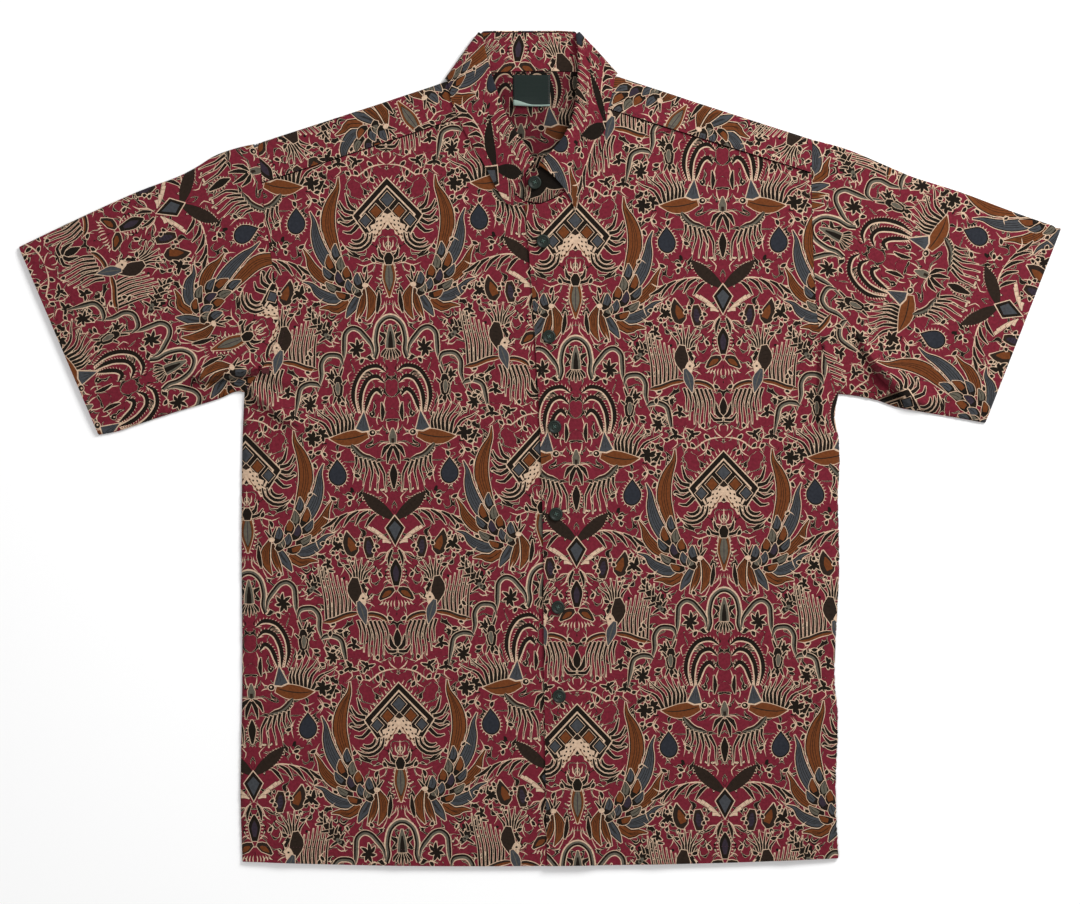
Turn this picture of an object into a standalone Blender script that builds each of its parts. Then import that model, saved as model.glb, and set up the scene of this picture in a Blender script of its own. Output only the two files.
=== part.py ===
"""Short-sleeved batik shirt, buttoned up and laid flat, face up.

X runs across the shirt towards the wearer's left, Y from the hem to the collar and Z up. The origin
is on the surface that the shirt lies on, in the middle of its width and length. Every panel is a
wall on a net of middle points. Two heights rule them all: the lower layer, which lies flat, and the
upper layer, which puffs up a little inside the folded edges.
"""

import math
from collections import namedtuple

import bmesh
import bpy
import numpy as np

MM = 0.001

# Cloth and how it lies
WALL = 1.2 * MM  # cloth with its turnings
GAP = 0.3 * MM  # between pieces
LAYER = WALL + GAP  # from one layer's middle to the next
BACK_LEVEL = WALL / 2  # middle of the cloth that lies on the surface
FRONT_LEVEL = BACK_LEVEL + LAYER
PUFF = 2.4 * MM  # rise of the upper layer inside its folded edges
PUFF_REACH = 45 * MM  # how far from a folded edge the rise is complete
OPEN_REACH = 60 * MM  # the same from a hem or cuff
OPEN_SHARE = 0.5  # share of the rise that is left at a hem or cuff
FRONT_OVERLAP = 28 * MM  # how far one front runs under the other
OVERLAP_LIFT = LAYER + 0.3 * MM  # rise of the upper one there
OVERLAP_SHELF = 4 * MM  # it stays up this far past the lower one's edge
OVERLAP_FADE = 20 * MM  # and comes down over this width
CREASE_FADE = 10 * MM  # creases die out over this width at the folded edges
COLLAR_LOFT = 1.5 * MM  # the fall stands this far off the stand at the roll
NECK_CLEARANCE = 1.6 * MM  # stand to yoke where both turn over the shoulder
STAND_EASE = 0.5 * MM  # further gap at the stand's top edge and neck seam
FALL_EASE = 0.6 * MM  # further gap between the fall's points and the fronts
TURN_STEPS = 4  # faces round a folded edge
FOLD_STEPS = 6  # and round the two folds of the collar

RIGHT, LEFT = -1, 1  # the wearer's sides, as signs of X

# Corners of each half, in millimetres. The folded ones are the axes that the cloth turns round.
Corners = namedtuple("Corners", "neck shoulder cuff_top cuff_bottom armpit hem")
CORNERS = {
    RIGHT: Corners((-77.5, 336.7), (-259, 277.8), (-477.5, 183), (-405.5, 13.2), (-270, 52), (-272, -379)),
    LEFT: Corners((63, 340.8), (249, 281.2), (476.5, 200), (408, 24.2), (272, 51), (272, -376)),
}

# Armhole seams from the shoulder to the armpit, and side seams from there to the hem: x, y
ARMHOLE = {
    RIGHT: ((-254.5, 241), (-252.6, 213), (-243.5, 154), (-240, 113), (-250, 81)),
    LEFT: ((248, 242), (249, 200), (252, 136), (258, 90)),
}
SIDE_SEAM = {
    RIGHT: ((-272, 0), (-272.8, -90), (-272, -205), (-273.7, -310)),
    LEFT: ((268.5, 28), (273, 0), (271.5, -50), (272.5, -110), (268.3, -204), (271.5, -250), (269.3, -314)),
}
HEM = ((-272, -379), (-190, -381.5), (-100, -383), (0, -382.8), (100, -381.5), (180, -379.6), (272, -376))

# The sleeve's folded top edge and its underarm, as a rise over a straight line: share of the way, rise
SLEEVE_TOP = {
    RIGHT: ((0, 0), (0.08, 3.8), (0.17, 5.3), (0.25, 2.5), (0.34, 1.2), (0.5, 3.2), (0.75, 2.3), (1, 0)),
    LEFT: ((0, 0), (0.1, 2.1), (0.18, 2.1), (0.34, -0.4), (0.42, -1.2), (0.6, 0.4), (0.8, -0.4), (1, 0)),
}
SLEEVE_UNDER = {
    RIGHT: ((0, 0), (0.07, 3.5), (0.2, 1.4), (0.5, 0.7), (0.73, -0.6), (0.87, -1.6), (1, 0)),
    LEFT: ((0, 0), (0.13, 1.3), (0.27, 1.2), (0.4, -1.4), (0.54, -1.4), (0.8, -0.4), (1, 0)),
}

YOKE_BACK_Y = 225  # height of the straight seam across the back
STRIP = (0.05, 0.15, 0.35, 0.6, 0.8, 1)  # sections of the yoke's front strip, from its fold
ARM_HEIGHTS = (225, 200, 175, 150, 127, 105, 85, 72, 62, 56)  # sections below it, to the armpit
NECK_LOW = 222.2 * MM  # where both front edges meet the neckline
YOKE_NECK_Y = {RIGHT: 304, LEFT: 311.8}  # where the front yoke seam meets the neckline
YOKE_ARM_Y = {RIGHT: 243, LEFT: 252}  # and the armhole

EDGE_SECTIONS = 7  # sections from the armpit up that end on the front edge; later ones end at the neck
SIDE_HEIGHTS = (-300, -200, -110, -30, 12, 32)  # a front's sections from the hem to the armpit
EDGE_HEIGHTS = (-300, -198, -105, -15, 35, 58, 80, 88, 98, 112, 130, 165)  # their ends at the front edge

# The folded front edge, on top, from neck to hem: x, y
FRONT_EDGE = ((-14.2, 224), (-9.6, 166), (-5.5, 108), (0, 2), (2.6, -100), (3.2, -205), (6, -383))

# Collar in sections from the front to the fold on the shoulder: the visible roll, the neck seam that
# the stand is sewn in, and the fall's free edge; bow bends the section of the fall.
Section = namedtuple("Section", "roll_x roll_y seam_x seam_y edge_x edge_y bow")
COLLAR_FRONT = {
    RIGHT: (
        Section(-6.9, 261.4, -6.0, 222.8, -25.2, 220.1, 3.5),
        Section(-12.4, 271.4, -18.8, 228.3, -32.0, 224.5, 1.5),
        Section(-18.8, 282.4, -30.7, 239.3, -39.9, 236.6, 0),
        Section(-26.1, 293.4, -41.7, 255.8, -48.1, 252.5, 0),
        Section(-32.6, 305.4, -52.7, 273.3, -58.2, 271.0, 0),
        Section(-39.9, 325.5, -64.0, 294.0, -69.0, 288.5, 0),
        Section(-46.3, 346.0, -71.5, 312.0, -78.5, 309.0, 0),
        Section(-50.5, 363.0, -75.7, 325.0, -83.0, 323.5, 0),
        Section(-53.5, 378.5, -77.5, 336.7, -84.8, 336.1, 0),
    ),
    LEFT: (
        Section(-2.3, 259.5, 0.5, 223.3, 31.6, 216.4, -5.0),
        Section(7.8, 268.7, 17.9, 231.0, 36.0, 227.0, -2.0),
        Section(17.9, 279.7, 33.5, 245.8, 42.5, 243.0, 0),
        Section(25.2, 292.5, 44.5, 261.4, 50.5, 258.6, 0),
        Section(30.7, 308.1, 51.4, 278.5, 57.0, 275.5, 0),
        Section(33.2, 324.6, 54.0, 295.5, 59.5, 293.0, 0),
        Section(34.4, 343.0, 56.5, 312.5, 62.0, 310.5, 0),
        Section(34.4, 361.3, 60.0, 327.5, 66.0, 327.0, 0),
        Section(32.2, 378.2, 63.0, 340.8, 68.2, 340.6, 0),
    ),
}
COLLAR_BACK = (
    Section(-47.0, 382.2, -68.3, 340.0, -72.0, 334.5, 0),
    Section(-32.6, 382.4, -41.7, 343.4, -44.5, 336.8, 0),
    Section(-8.7, 382.4, -6.9, 344.8, -7.8, 338.4, 0),
    Section(14.2, 382.4, 28.0, 344.2, 31.6, 338.4, 0),
    Section(26.5, 381.8, 52.0, 342.5, 57.0, 338.0, 0),
)
STAND_ENDS = {  # roll and seam of the stand's two ends, past the middle of the front
    RIGHT: ((5.6, 255.0), (6.9, 224.2)),
    LEFT: ((-12.8, 255.8), (-14.0, 225.0)),
}

# Where the layers lift to make room for the collar: middle and half-widths of the lifted ovals
NECK_FRONT = ((-4, 300), (75, 80))
NECK_BACK = ((-8, 365), (100, 50))
NECK_LIFT = 2.4 * MM  # of the upper layer at the neckline
STAND_LIFT = 3.0 * MM  # further rise of the stand towards the roll

# Large creases of the upper layer: ends in millimetres, height, half-width
Crease = namedtuple("Crease", "x1 y1 x2 y2 height width")
CREASES = (
    Crease(-318, 57, -268, 50, 3.2, 8),
    Crease(-266, 44, -234, 24, 1.6, 9),
    Crease(300, 88, 312, 68, 2.2, 8),
    Crease(312, 68, 372, 33, 3.2, 8),
    Crease(258, 88, 256, 26, 2.2, 9),
)

LABEL_SIZE = (34, 29)
LABEL_TOP = (-8.2, 342)
LABEL_WALL = 1.0 * MM

BUTTONS = (  # centres of the button on the stand and of the six down the front
    (-5.4, 242.4), (2.3, 189), (7.8, 101.8), (12.9, 19.3), (14.2, -60.5), (16.0, -145.8), (17.0, -227),
)
BUTTON_RADIUS = 6.2 * MM
BUTTON_HEIGHT = 2.4 * MM
BUTTON_DISH = 0.9 * MM
HOLE_RADIUS = 0.8 * MM
HOLE_OFFSET = 1.5 * MM

CLOTH_RED = (0.30, 0.035, 0.05, 1)
LABEL_GREEN = (0.02, 0.035, 0.03, 1)
BUTTON_GREEN = (0.035, 0.04, 0.03, 1)


# Curves and heights

def smooth(points, steps):
    """Catmull-Rom curve through the rows of points, with so many steps between two rows."""
    p = np.asarray(points, float)
    p = np.vstack([2 * p[0] - p[1], p, 2 * p[-1] - p[-2]])
    t = (np.arange(steps) / steps)[:, None]
    spans = [
        (2 * b + (c - a) * t + (2 * a - 5 * b + 4 * c - d) * t**2 + (3 * b - a - 3 * c + d) * t**3) / 2
        for a, b, c, d in zip(p[:-3], p[1:-2], p[2:-1], p[3:])
    ]
    return np.vstack(spans + [p[-2:-1]])


def at_share(path, share):
    """Points at shares of a path's length."""
    run = np.r_[0, np.cumsum(np.linalg.norm(np.diff(path, axis=0), axis=1))]
    return np.column_stack([np.interp(np.asarray(share) * run[-1], run, path[:, k]) for k in (0, 1)])


def unit(v):
    return v / np.linalg.norm(v, axis=-1, keepdims=True)


def ease(t):
    t = np.clip(t, 0, 1)
    return t * t * (3 - 2 * t)


def distance(xy, path):
    """Distance of each point from a path of straight stretches."""
    best = np.full(xy.shape[:-1], np.inf)
    for a, b in zip(path[:-1], path[1:]):
        run = b - a
        share = np.clip((xy - a) @ run / (run @ run), 0, 1)
        best = np.minimum(best, np.linalg.norm(xy - a - share[..., None] * run, axis=-1))
    return best


def risen(start, end, table, away):
    """A line from start to end that bulges to the given side by the table's rises."""
    start, end = np.array(start), np.array(end)
    rows = smooth(table, 4)
    run = unit(end - start)
    normal = np.array([-run[1], run[0]])
    normal *= np.sign(normal @ away)
    return (start + rows[:, :1] * (end - start) + rows[:, 1:] * normal) * MM


UP = np.array([0, 1])
SHOULDER_LINE = {s: np.array([CORNERS[s].neck, CORNERS[s].shoulder]) * MM for s in CORNERS}
TOP_EDGE = {s: risen(CORNERS[s].shoulder, CORNERS[s].cuff_top, SLEEVE_TOP[s], UP) for s in CORNERS}
UNDER_EDGE = {s: risen(CORNERS[s].armpit, CORNERS[s].cuff_bottom, SLEEVE_UNDER[s], UP) for s in CORNERS}
ARM_SEAM = {
    s: smooth([CORNERS[s].shoulder, *ARMHOLE[s], CORNERS[s].armpit], 6) * MM for s in CORNERS
}
BODY_SIDE = {s: smooth([CORNERS[s].armpit, *SIDE_SEAM[s], CORNERS[s].hem], 6) * MM for s in CORNERS}
HEM_LINE = smooth(HEM, 4) * MM
EDGE_LINE = smooth(FRONT_EDGE, 6) * MM
NECK_SEAM = {s: smooth([(c.seam_x, c.seam_y) for c in COLLAR_FRONT[s]], 6) * MM for s in CORNERS}


def side_x(side, y):
    """X of the armhole or side seam at a height."""
    line = np.vstack([ARM_SEAM[side], BODY_SIDE[side][1:]])
    return np.interp(-np.asarray(y), -line[:, 1], line[:, 0])


def arm_heights(side):
    """Heights on an armhole, from shoulder to armpit, where every panel that meets it has a section."""
    shoulder, strip = CORNERS[side].shoulder[1], YOKE_ARM_Y[side]
    upper = [shoulder - f * (shoulder - strip) for f in STRIP]
    return np.array([shoulder, *upper, *ARM_HEIGHTS, CORNERS[side].armpit[1]]) * MM


def arm_points(side, heights):
    return np.column_stack([side_x(side, heights), heights])


def edge_x(y):
    """X of the folded front edge at a height."""
    return np.interp(-np.asarray(y), -EDGE_LINE[:, 1], EDGE_LINE[:, 0])


def hem_y(x):
    return np.interp(x, HEM_LINE[:, 0], HEM_LINE[:, 1])


def oval(xy, shape):
    """0 in the middle of an oval, 1 on its rim, and more outside."""
    middle, halves = np.array(shape) * MM
    return np.linalg.norm((xy - middle) / halves, axis=-1)


def back_height(xy):
    """Middle of the lower layer, which lifts at the neck to lie on the fall of the collar."""
    return BACK_LEVEL + LAYER * (1 - ease((oval(xy, NECK_BACK) - 1.12) / 0.5))


def front_height(xy):
    """Middle of the upper layer: the puff inside the folded edges, the lift at the neck, the creases."""
    folded = np.full(xy.shape[:-1], np.inf)
    opened = distance(xy, HEM_LINE)
    for s in CORNERS:
        top = np.vstack([SHOULDER_LINE[s], TOP_EDGE[s][1:]])
        under = np.vstack([UNDER_EDGE[s][::-1], BODY_SIDE[s][1:]])
        folded = np.minimum(folded, np.minimum(distance(xy, top), distance(xy, under)))
        opened = np.minimum(opened, distance(xy, np.array([TOP_EDGE[s][-1], UNDER_EDGE[s][-1]])))
    inside = 1 - np.clip(folded / PUFF_REACH, 0, 1)
    kept = OPEN_SHARE + (1 - OPEN_SHARE) * ease(opened / OPEN_REACH)
    height = FRONT_LEVEL + PUFF * np.sqrt(1 - inside**2) * kept
    near = oval(xy, NECK_FRONT)
    height = height + NECK_LIFT * (1 - ease(near - 1)) + STAND_LIFT * np.clip(1.05 - near, 0, 1)
    for c in CREASES:
        off = distance(xy, np.array([(c.x1, c.y1), (c.x2, c.y2)]) * MM)
        bump = np.exp(-((off / (c.width * MM)) ** 2))
        height = height + c.height * MM * bump * ease(folded / CREASE_FADE)
    return height


def overlap_lift(xy):
    """Rise of the upper of the two fronts, and of the collar on it, over the lower one."""
    inward = xy[..., 0] - edge_x(xy[..., 1])
    return OVERLAP_LIFT * (1 - ease((inward - FRONT_OVERLAP - OVERLAP_SHELF) / OVERLAP_FADE))


def left_height(xy):
    return front_height(xy) + overlap_lift(xy)


def right_fall_lift(xy):
    """Rise of the right point of the collar, which lies on the end of the stand."""
    return LAYER * ease((xy[..., 0] + 45 * MM) / (25 * MM))


# Walls

def material(name, color, roughness):
    made = bpy.data.materials.new(name)
    made.use_nodes = True
    shader = made.node_tree.nodes["Principled BSDF"]
    shader.inputs["Base Color"].default_value = color
    shader.inputs["Roughness"].default_value = roughness
    shader.inputs["Metallic"].default_value = 0
    made.diffuse_color = color
    return made


def net(index, closed=False):
    """Cells between neighbouring rows and columns of point numbers, where -1 is no point."""
    if closed:
        index = np.hstack([index, index[:, :1]])
    cells = []
    for i in range(index.shape[0] - 1):
        for j in range(index.shape[1] - 1):
            cell = (index[i, j], index[i + 1, j], index[i + 1, j + 1], index[i, j + 1])
            if min(cell) >= 0:
                cells.append(tuple(int(n) for n in cell))
    return cells


def wall(name, middle, outward, cells, color, roughness=0.8, thickness=WALL):
    """A closed wall on both sides of a net of middle points, with a rim round its free edges."""
    used = sorted({n for cell in cells for n in cell})
    number = {n: k for k, n in enumerate(used)}
    cells = [tuple(number[n] for n in cell) for cell in cells]
    middle, outward = middle[used], outward[used]
    count = len(used)
    points = np.vstack([middle + outward * thickness / 2, middle - outward * thickness / 2])
    sides = {}
    for cell in cells:
        for a, b in zip(cell, cell[1:] + cell[:1]):
            if (b, a) in sides:
                del sides[(b, a)]
            else:
                sides[(a, b)] = True
    faces = cells + [tuple(n + count for n in reversed(cell)) for cell in cells]
    faces += [(b, a, a + count, b + count) for a, b in sides]
    mesh = bpy.data.meshes.new(name)
    mesh.from_pydata(points.tolist(), [], faces)
    form = bmesh.new()
    form.from_mesh(mesh)
    bmesh.ops.recalc_face_normals(form, faces=form.faces)
    bmesh.ops.triangulate(form, faces=form.faces)
    form.to_mesh(mesh)
    form.free()
    mesh.shade_smooth()
    mesh.set_sharp_from_angle(angle=math.radians(50))
    mesh.materials.append(material(name + "_finish", color, roughness))
    made = bpy.data.objects.new(name, mesh)
    bpy.context.collection.objects.link(made)
    return made


def drawn_in(grid, first=(), last=()):
    """Moves the named outer rows (axis 0) or columns (axis 1) of a grid inwards by half a seam gap."""
    grid = grid.copy()
    for axis in first:
        rows = np.moveaxis(grid, axis, 0)
        rows[0] += unit(rows[1] - rows[0]) * GAP / 2
    for axis in last:
        rows = np.moveaxis(grid, axis, 0)
        rows[-1] += unit(rows[-2] - rows[-1]) * GAP / 2
    return grid


def flat_panel(name, grid, height, facing):
    """A panel on a grid of plan points, at a height that depends on the place."""
    rows, columns = grid.shape[:2]
    middle = np.dstack([grid, height(grid)]).reshape(-1, 3)
    outward = np.tile((0.0, 0.0, facing), (rows * columns, 1))
    return wall(name, middle, outward, net(np.arange(rows * columns).reshape(rows, columns)), CLOTH_RED)


def turned(axis, away, angle, low, high, offset=0.0):
    """Points and outward directions where cloth turns round a folded edge.

    The cloth comes from the lower layer (angle 0) to the upper one (angle pi) round the axis, on a
    half circle between the two heights, and offset lies outside it.
    """
    radius = (high - low) / 2 + offset
    out = np.concatenate([away * np.sin(angle), np.full(away.shape[:-1] + (1,), -np.cos(angle))], axis=-1)
    centre = np.concatenate([axis, ((high + low) / 2)[..., None]], axis=-1)
    return centre + out * radius[..., None], out


# Body

def back():
    """One panel from the hem to the yoke seam, sections across from side seam to side seam."""
    shares = np.array((0, 0.02, 0.06, 0.15, 0.3, 0.5, 0.7, 0.85, 0.94, 0.98, 1))[:, None]
    low = np.array((-300, -200, -100, -20, 28)) * MM
    ends = []
    for s in (RIGHT, LEFT):
        arm = arm_points(s, arm_heights(s)[len(STRIP) + 1:][::-1])
        ends.append(np.vstack([np.array(CORNERS[s].hem) * MM, arm_points(s, low), arm]))
    grid = ends[0][:, None] + shares * (ends[1] - ends[0])[:, None]
    grid[0, :, 1] = hem_y(grid[0, :, 0])
    grid = drawn_in(grid, last=(0,))
    sewn = drawn_in(grid, first=(1,), last=(1,))
    grid[len(low) + 1:] = sewn[len(low) + 1:]
    flat_panel("back", grid, back_height, -1.0)


def front(side):
    """One front: sections from the side seam and armhole to the front edge and neckline."""
    under = FRONT_OVERLAP if side == RIGHT else 0.0
    low = np.array(SIDE_HEIGHTS) * MM
    arm = arm_points(side, arm_heights(side)[len(STRIP):][::-1])
    plain, at_neck = arm[:EDGE_SECTIONS - 1], arm[EDGE_SECTIONS - 1:]
    fine = np.vstack([at_neck[:1]] + [
        a + (b - a) * f for a, b in zip(at_neck[:-1], at_neck[1:]) for f in np.array((1, 2, 3)) / 3
    ])
    outer = np.vstack([np.array(CORNERS[side].hem) * MM, arm_points(side, low), plain, fine])
    edge_y = np.array(EDGE_HEIGHTS) * MM
    hem_x = edge_x(HEM_LINE[:, 1].min()) + under
    inner_low = np.column_stack([edge_x(edge_y) + under, edge_y])
    inner_neck = at_share(neckline(side), np.linspace(0, 1, len(fine)))
    inner = np.vstack([[hem_x, hem_y(hem_x)], inner_low, inner_neck])
    columns = np.array((0, 0.012, 0.035, 0.08, 0.16, 0.3, 0.46, 0.62, 0.75, 0.82, 0.86, 0.9, 1))[:, None]
    grid = outer[:, None] + columns * (inner - outer)[:, None]
    grid[0, :, 1] = hem_y(grid[0, :, 0])
    grid = drawn_in(grid, last=(0,))
    sewn = drawn_in(grid, first=(1,), last=(1,))
    grid[len(low) + 1:, 0] = sewn[len(low) + 1:, 0]
    grid[-len(fine):, -1] = sewn[-len(fine):, -1]
    name = "right_front" if side == RIGHT else "left_front"
    flat_panel(name, grid, front_height if side == RIGHT else left_height, 1.0)


def neckline(side):
    """The neck edge of a front, from its own front edge to the yoke seam."""
    corner_y = YOKE_NECK_Y[side] * MM
    corner = [np.interp(corner_y, NECK_SEAM[side][:, 1], NECK_SEAM[side][:, 0]), corner_y]
    rising = NECK_SEAM[side][NECK_SEAM[side][:, 1] < corner_y - 2 * MM]
    if side == LEFT:
        return np.vstack([[edge_x(NECK_LOW), NECK_LOW], rising, corner])
    start = [[edge_x(NECK_LOW) + FRONT_OVERLAP, NECK_LOW]]
    return np.vstack([start, rising, corner])


def yoke():
    """One panel: across the back, over both shoulder folds and down to the two front yoke seams."""
    columns = (1, 0.97, 0.88, 0.7, 0.5, 0.3, 0.15, 0.06, 0)
    back_neck = smooth(
        [CORNERS[RIGHT].neck, *[(c.seam_x, c.seam_y) for c in COLLAR_BACK], CORNERS[LEFT].neck], 4
    ) * MM
    middle_top = at_share(back_neck, np.linspace(0, 1, 11))[1:-1]
    tops, seams = {}, {}
    for s in CORNERS:
        neck, shoulder = SHOULDER_LINE[s]
        tops[s] = np.array([neck + f * (shoulder - neck) for f in columns])
        y = YOKE_BACK_Y * MM
        arm = np.array([side_x(s, y), y])
        seams[s] = np.array([np.array([neck[0], y]) + f * (arm - [neck[0], y]) for f in columns])
    top = np.vstack([tops[RIGHT], middle_top, tops[LEFT][::-1]])
    middle_low = np.column_stack([
        np.linspace(seams[RIGHT][-1][0], seams[LEFT][-1][0], 11)[1:-1], np.full(9, YOKE_BACK_Y * MM)
    ])
    low = np.vstack([seams[RIGHT], middle_low, seams[LEFT][::-1]])
    up = (0, 0.4, 0.52, 0.64, 0.78, 0.9, 0.96, 1)
    behind = low[None] + np.array(up)[:, None, None] * (top - low)[None]
    arms = {s: arm_points(s, arm_heights(s)[:len(STRIP) + 2][::-1]) for s in CORNERS}
    behind[:, 0], behind[:, -1] = arms[RIGHT], arms[LEFT]
    sewn = drawn_in(behind, first=(0, 1), last=(1,))
    neck_columns = slice(len(columns), -len(columns))
    sewn[-1, neck_columns] = drawn_in(behind, last=(0,))[-1, neck_columns]
    rows, count = sewn.shape[:2]
    total = rows + TURN_STEPS + len(STRIP)
    middle = np.zeros((total, count, 3))
    outward = np.zeros((total, count, 3))
    middle[:rows] = np.dstack([sewn, back_height(sewn)])
    outward[:rows, :, 2] = -1.0
    index = -np.ones((total, count), int)
    index[:rows] = np.arange(rows * count).reshape(rows, count)
    down = np.array(STRIP)
    for s, span in ((RIGHT, slice(0, len(columns))), (LEFT, slice(count - len(columns), count))):
        axis = sewn[-1, span]
        neck, shoulder = SHOULDER_LINE[s]
        run = unit(shoulder - neck)
        away = np.array([-run[1], run[0]]) * np.sign(run[0])
        away = np.tile(away, (len(axis), 1))
        for k in range(1, TURN_STEPS + 1):
            angle = math.pi * k / TURN_STEPS
            row = rows - 1 + k
            middle[row, span], outward[row, span] = turned(
                axis, away, angle, back_height(axis), front_height(axis)
            )
        corner_y = YOKE_NECK_Y[s] * MM
        neck_y = np.interp(down, (0, 1), (axis[-1 if s == RIGHT else 0, 1], corner_y))
        neck_side = np.column_stack([np.interp(neck_y, NECK_SEAM[s][:, 1], NECK_SEAM[s][:, 0]), neck_y])
        neck_side[:, 0] += s * GAP / 2
        arm_side = arm_points(s, arm_heights(s)[1:len(STRIP) + 1]) - [s * GAP / 2, 0]
        start, end = np.array([axis[-1], axis[0]]) if s == RIGHT else np.array([axis[0], axis[-1]])
        shares = np.linalg.norm(axis - start, axis=1) / np.linalg.norm(end - start)
        fan = neck_side[:, None] + shares[None, :, None] * (arm_side - neck_side)[:, None]
        fan = drawn_in(fan, last=(0,))
        after = slice(rows + TURN_STEPS, total)
        middle[after, span] = np.dstack([fan, front_height(fan)])
        outward[after, span] = (0, 0, 1.0)
        side_index = np.arange(rows * count, total * count).reshape(total - rows, count)
        index[rows:, span] = side_index[:, span]
    wall("yoke", middle.reshape(-1, 3), outward.reshape(-1, 3), net(index), CLOTH_RED)


# Sleeves

def sleeve(side):
    """A flattened tube in rings from the armhole to the cuff, folded along its top and its underarm."""
    along = (0, 0.03, 0.08, 0.14, 0.22, 0.32, 0.45, 0.6, 0.75, 0.88, 0.96, 1)
    top = at_share(TOP_EDGE[side], along)
    under = at_share(UNDER_EDGE[side], along)
    arm = arm_points(side, arm_heights(side))
    run = np.r_[0, np.cumsum(np.linalg.norm(np.diff(arm, axis=0), axis=1))]
    across = run / run[-1]
    cuff = top[-1] + across[:, None] * (under[-1] - top[-1])
    rings = []
    for s, a, b in zip(along, top, under):
        straight = a + across[:, None] * (b - a)
        arm_bend = arm - (arm[0] + across[:, None] * (arm[-1] - arm[0]))
        cuff_bend = cuff - (cuff[0] + across[:, None] * (cuff[-1] - cuff[0]))
        rings.append(straight + (1 - s) ** 2 * arm_bend + s * cuff_bend)
    grid = drawn_in(np.array(rings), first=(0,))
    edges = {}
    for name, column in (("top", 0), ("under", -1)):
        run = unit(np.gradient(grid[:, column], axis=0))
        away = np.column_stack([-run[:, 1], run[:, 0]])
        inward = grid[:, -1 - column if column == 0 else 0] - grid[:, column]
        away *= -np.sign(np.sum(away * inward, axis=1))[:, None]
        edges[name] = away
    upper = np.dstack([grid, front_height(grid)])
    lower = np.dstack([grid, back_height(grid)])[:, ::-1]
    low, high = back_height(grid), front_height(grid)
    turns = {}
    for name, column in (("top", 0), ("under", -1)):
        angles = np.pi * np.arange(1, TURN_STEPS) / TURN_STEPS
        if name == "under":
            angles = angles[::-1]
        turns[name] = [
            turned(grid[:, column], edges[name], angle, low[:, column], high[:, column]) for angle in angles
        ]
    straight_up = np.tile((0, 0, 1.0), grid.shape[:2] + (1,))
    round_points = {name: [points[:, None] for points, _ in turns[name]] for name in turns}
    round_outs = {name: [outs[:, None] for _, outs in turns[name]] for name in turns}
    middle = np.hstack([upper, *round_points["under"], lower, *round_points["top"]])
    outward = np.hstack([straight_up, *round_outs["under"], -straight_up, *round_outs["top"]])
    rows, columns = middle.shape[:2]
    index = np.arange(rows * columns).reshape(rows, columns)
    name = "right_sleeve" if side == RIGHT else "left_sleeve"
    wall(name, middle.reshape(-1, 3), outward.reshape(-1, 3), net(index, closed=True), CLOTH_RED)


# Collar

def collar_rows():
    """Sections of the collar all the way round, each with its angle round the fold and its side.

    Angle pi is the front, on top, 0 is the back, underneath, and between them the collar turns over
    at each shoulder. Weight is 1 at the front end of the collar and 0 from the shoulder back. Square
    is the level direction square to the roll, out of the cloth.
    """
    rows = []
    for side in (RIGHT, LEFT):
        half = smooth(COLLAR_FRONT[side], 2)
        weight = np.cos(np.linspace(0, math.pi / 2, len(half)))
        run = np.gradient(half[:, :2], axis=0)
        square = unit(np.column_stack([run[:, 1], -run[:, 0]]) * -side)
        up = unit(half[:, :2] - half[:, 4:6])
        square = unit(square * weight[:, None] + up * (1 - weight[:, None]))
        part = [(half[k], math.pi, side, weight[k], square[k]) for k in range(len(half))]
        angles = math.pi * (1 - np.arange(1, FOLD_STEPS + 1) / FOLD_STEPS)
        part += [(half[-1], angle, side, 0.0, up[-1]) for angle in angles]
        rows.append(part)
    behind = smooth([COLLAR_FRONT[RIGHT][-1], *COLLAR_BACK, COLLAR_FRONT[LEFT][-1]], 3)[1:-1]
    up = unit(behind[:, :2] - behind[:, 4:6])
    return rows[0] + [(row, 0.0, RIGHT, 0.0, u) for row, u in zip(behind, up)] + rows[1][::-1]


def roll_axis(row, base, square, weight):
    """The level place that the fall turns round, half its own depth inside the visible roll."""
    roll = np.array(row[0:2]) * MM
    up = unit(roll - base)
    depth = (LAYER + COLLAR_LOFT * weight + WALL) / 2
    return roll - up * depth / (up @ square)


def away_from_neck(inner, outer, middle=np.array(NECK_FRONT[0]) * MM):
    """Level direction square to a section, away from the middle of the neck."""
    run = unit(outer - inner)
    away = np.array([-run[1], run[0]])
    return away * np.sign(away @ ((inner + outer) / 2 - middle))


def collar_band():
    """The stand: a ring from the neck seam up to the roll, its left end lapped over its right one."""
    rows = collar_rows()
    sections = []
    for row, angle, side, weight, square in rows:
        seam = np.array(row[2:4]) * MM
        roll = roll_axis(row, seam, square, weight)
        up = unit(roll - seam)
        sections.append((seam, roll - up * (GAP + STAND_EASE) / (up @ square), angle, side))
    ends = {s: (np.array(STAND_ENDS[s][1]) * MM, np.array(STAND_ENDS[s][0]) * MM) for s in STAND_ENDS}
    sections.insert(0, (*ends[RIGHT], math.pi, RIGHT))
    sections.append((*ends[LEFT], math.pi, LEFT))
    shares = np.array((0, 0.25, 0.5, 0.75, 1))[:, None]
    middle, outward = [], []
    for seam, roll, angle, side in sections:
        up = unit(roll - seam)
        seam = seam + up * (GAP + STAND_EASE + NECK_CLEARANCE * math.sin(angle))
        line = seam + shares * (roll - seam)
        high = left_height(line) if side == LEFT else front_height(line)
        away = np.tile(away_from_neck(seam, roll), (len(line), 1))
        points, out = turned(line, away, angle, back_height(line), high)
        middle.append(points)
        outward.append(out)
    middle, outward = np.array(middle), np.array(outward)
    index = np.arange(middle.shape[0] * middle.shape[1]).reshape(middle.shape[:2])
    wall("collar_band", middle.reshape(-1, 3), outward.reshape(-1, 3), net(index), CLOTH_RED)


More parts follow.
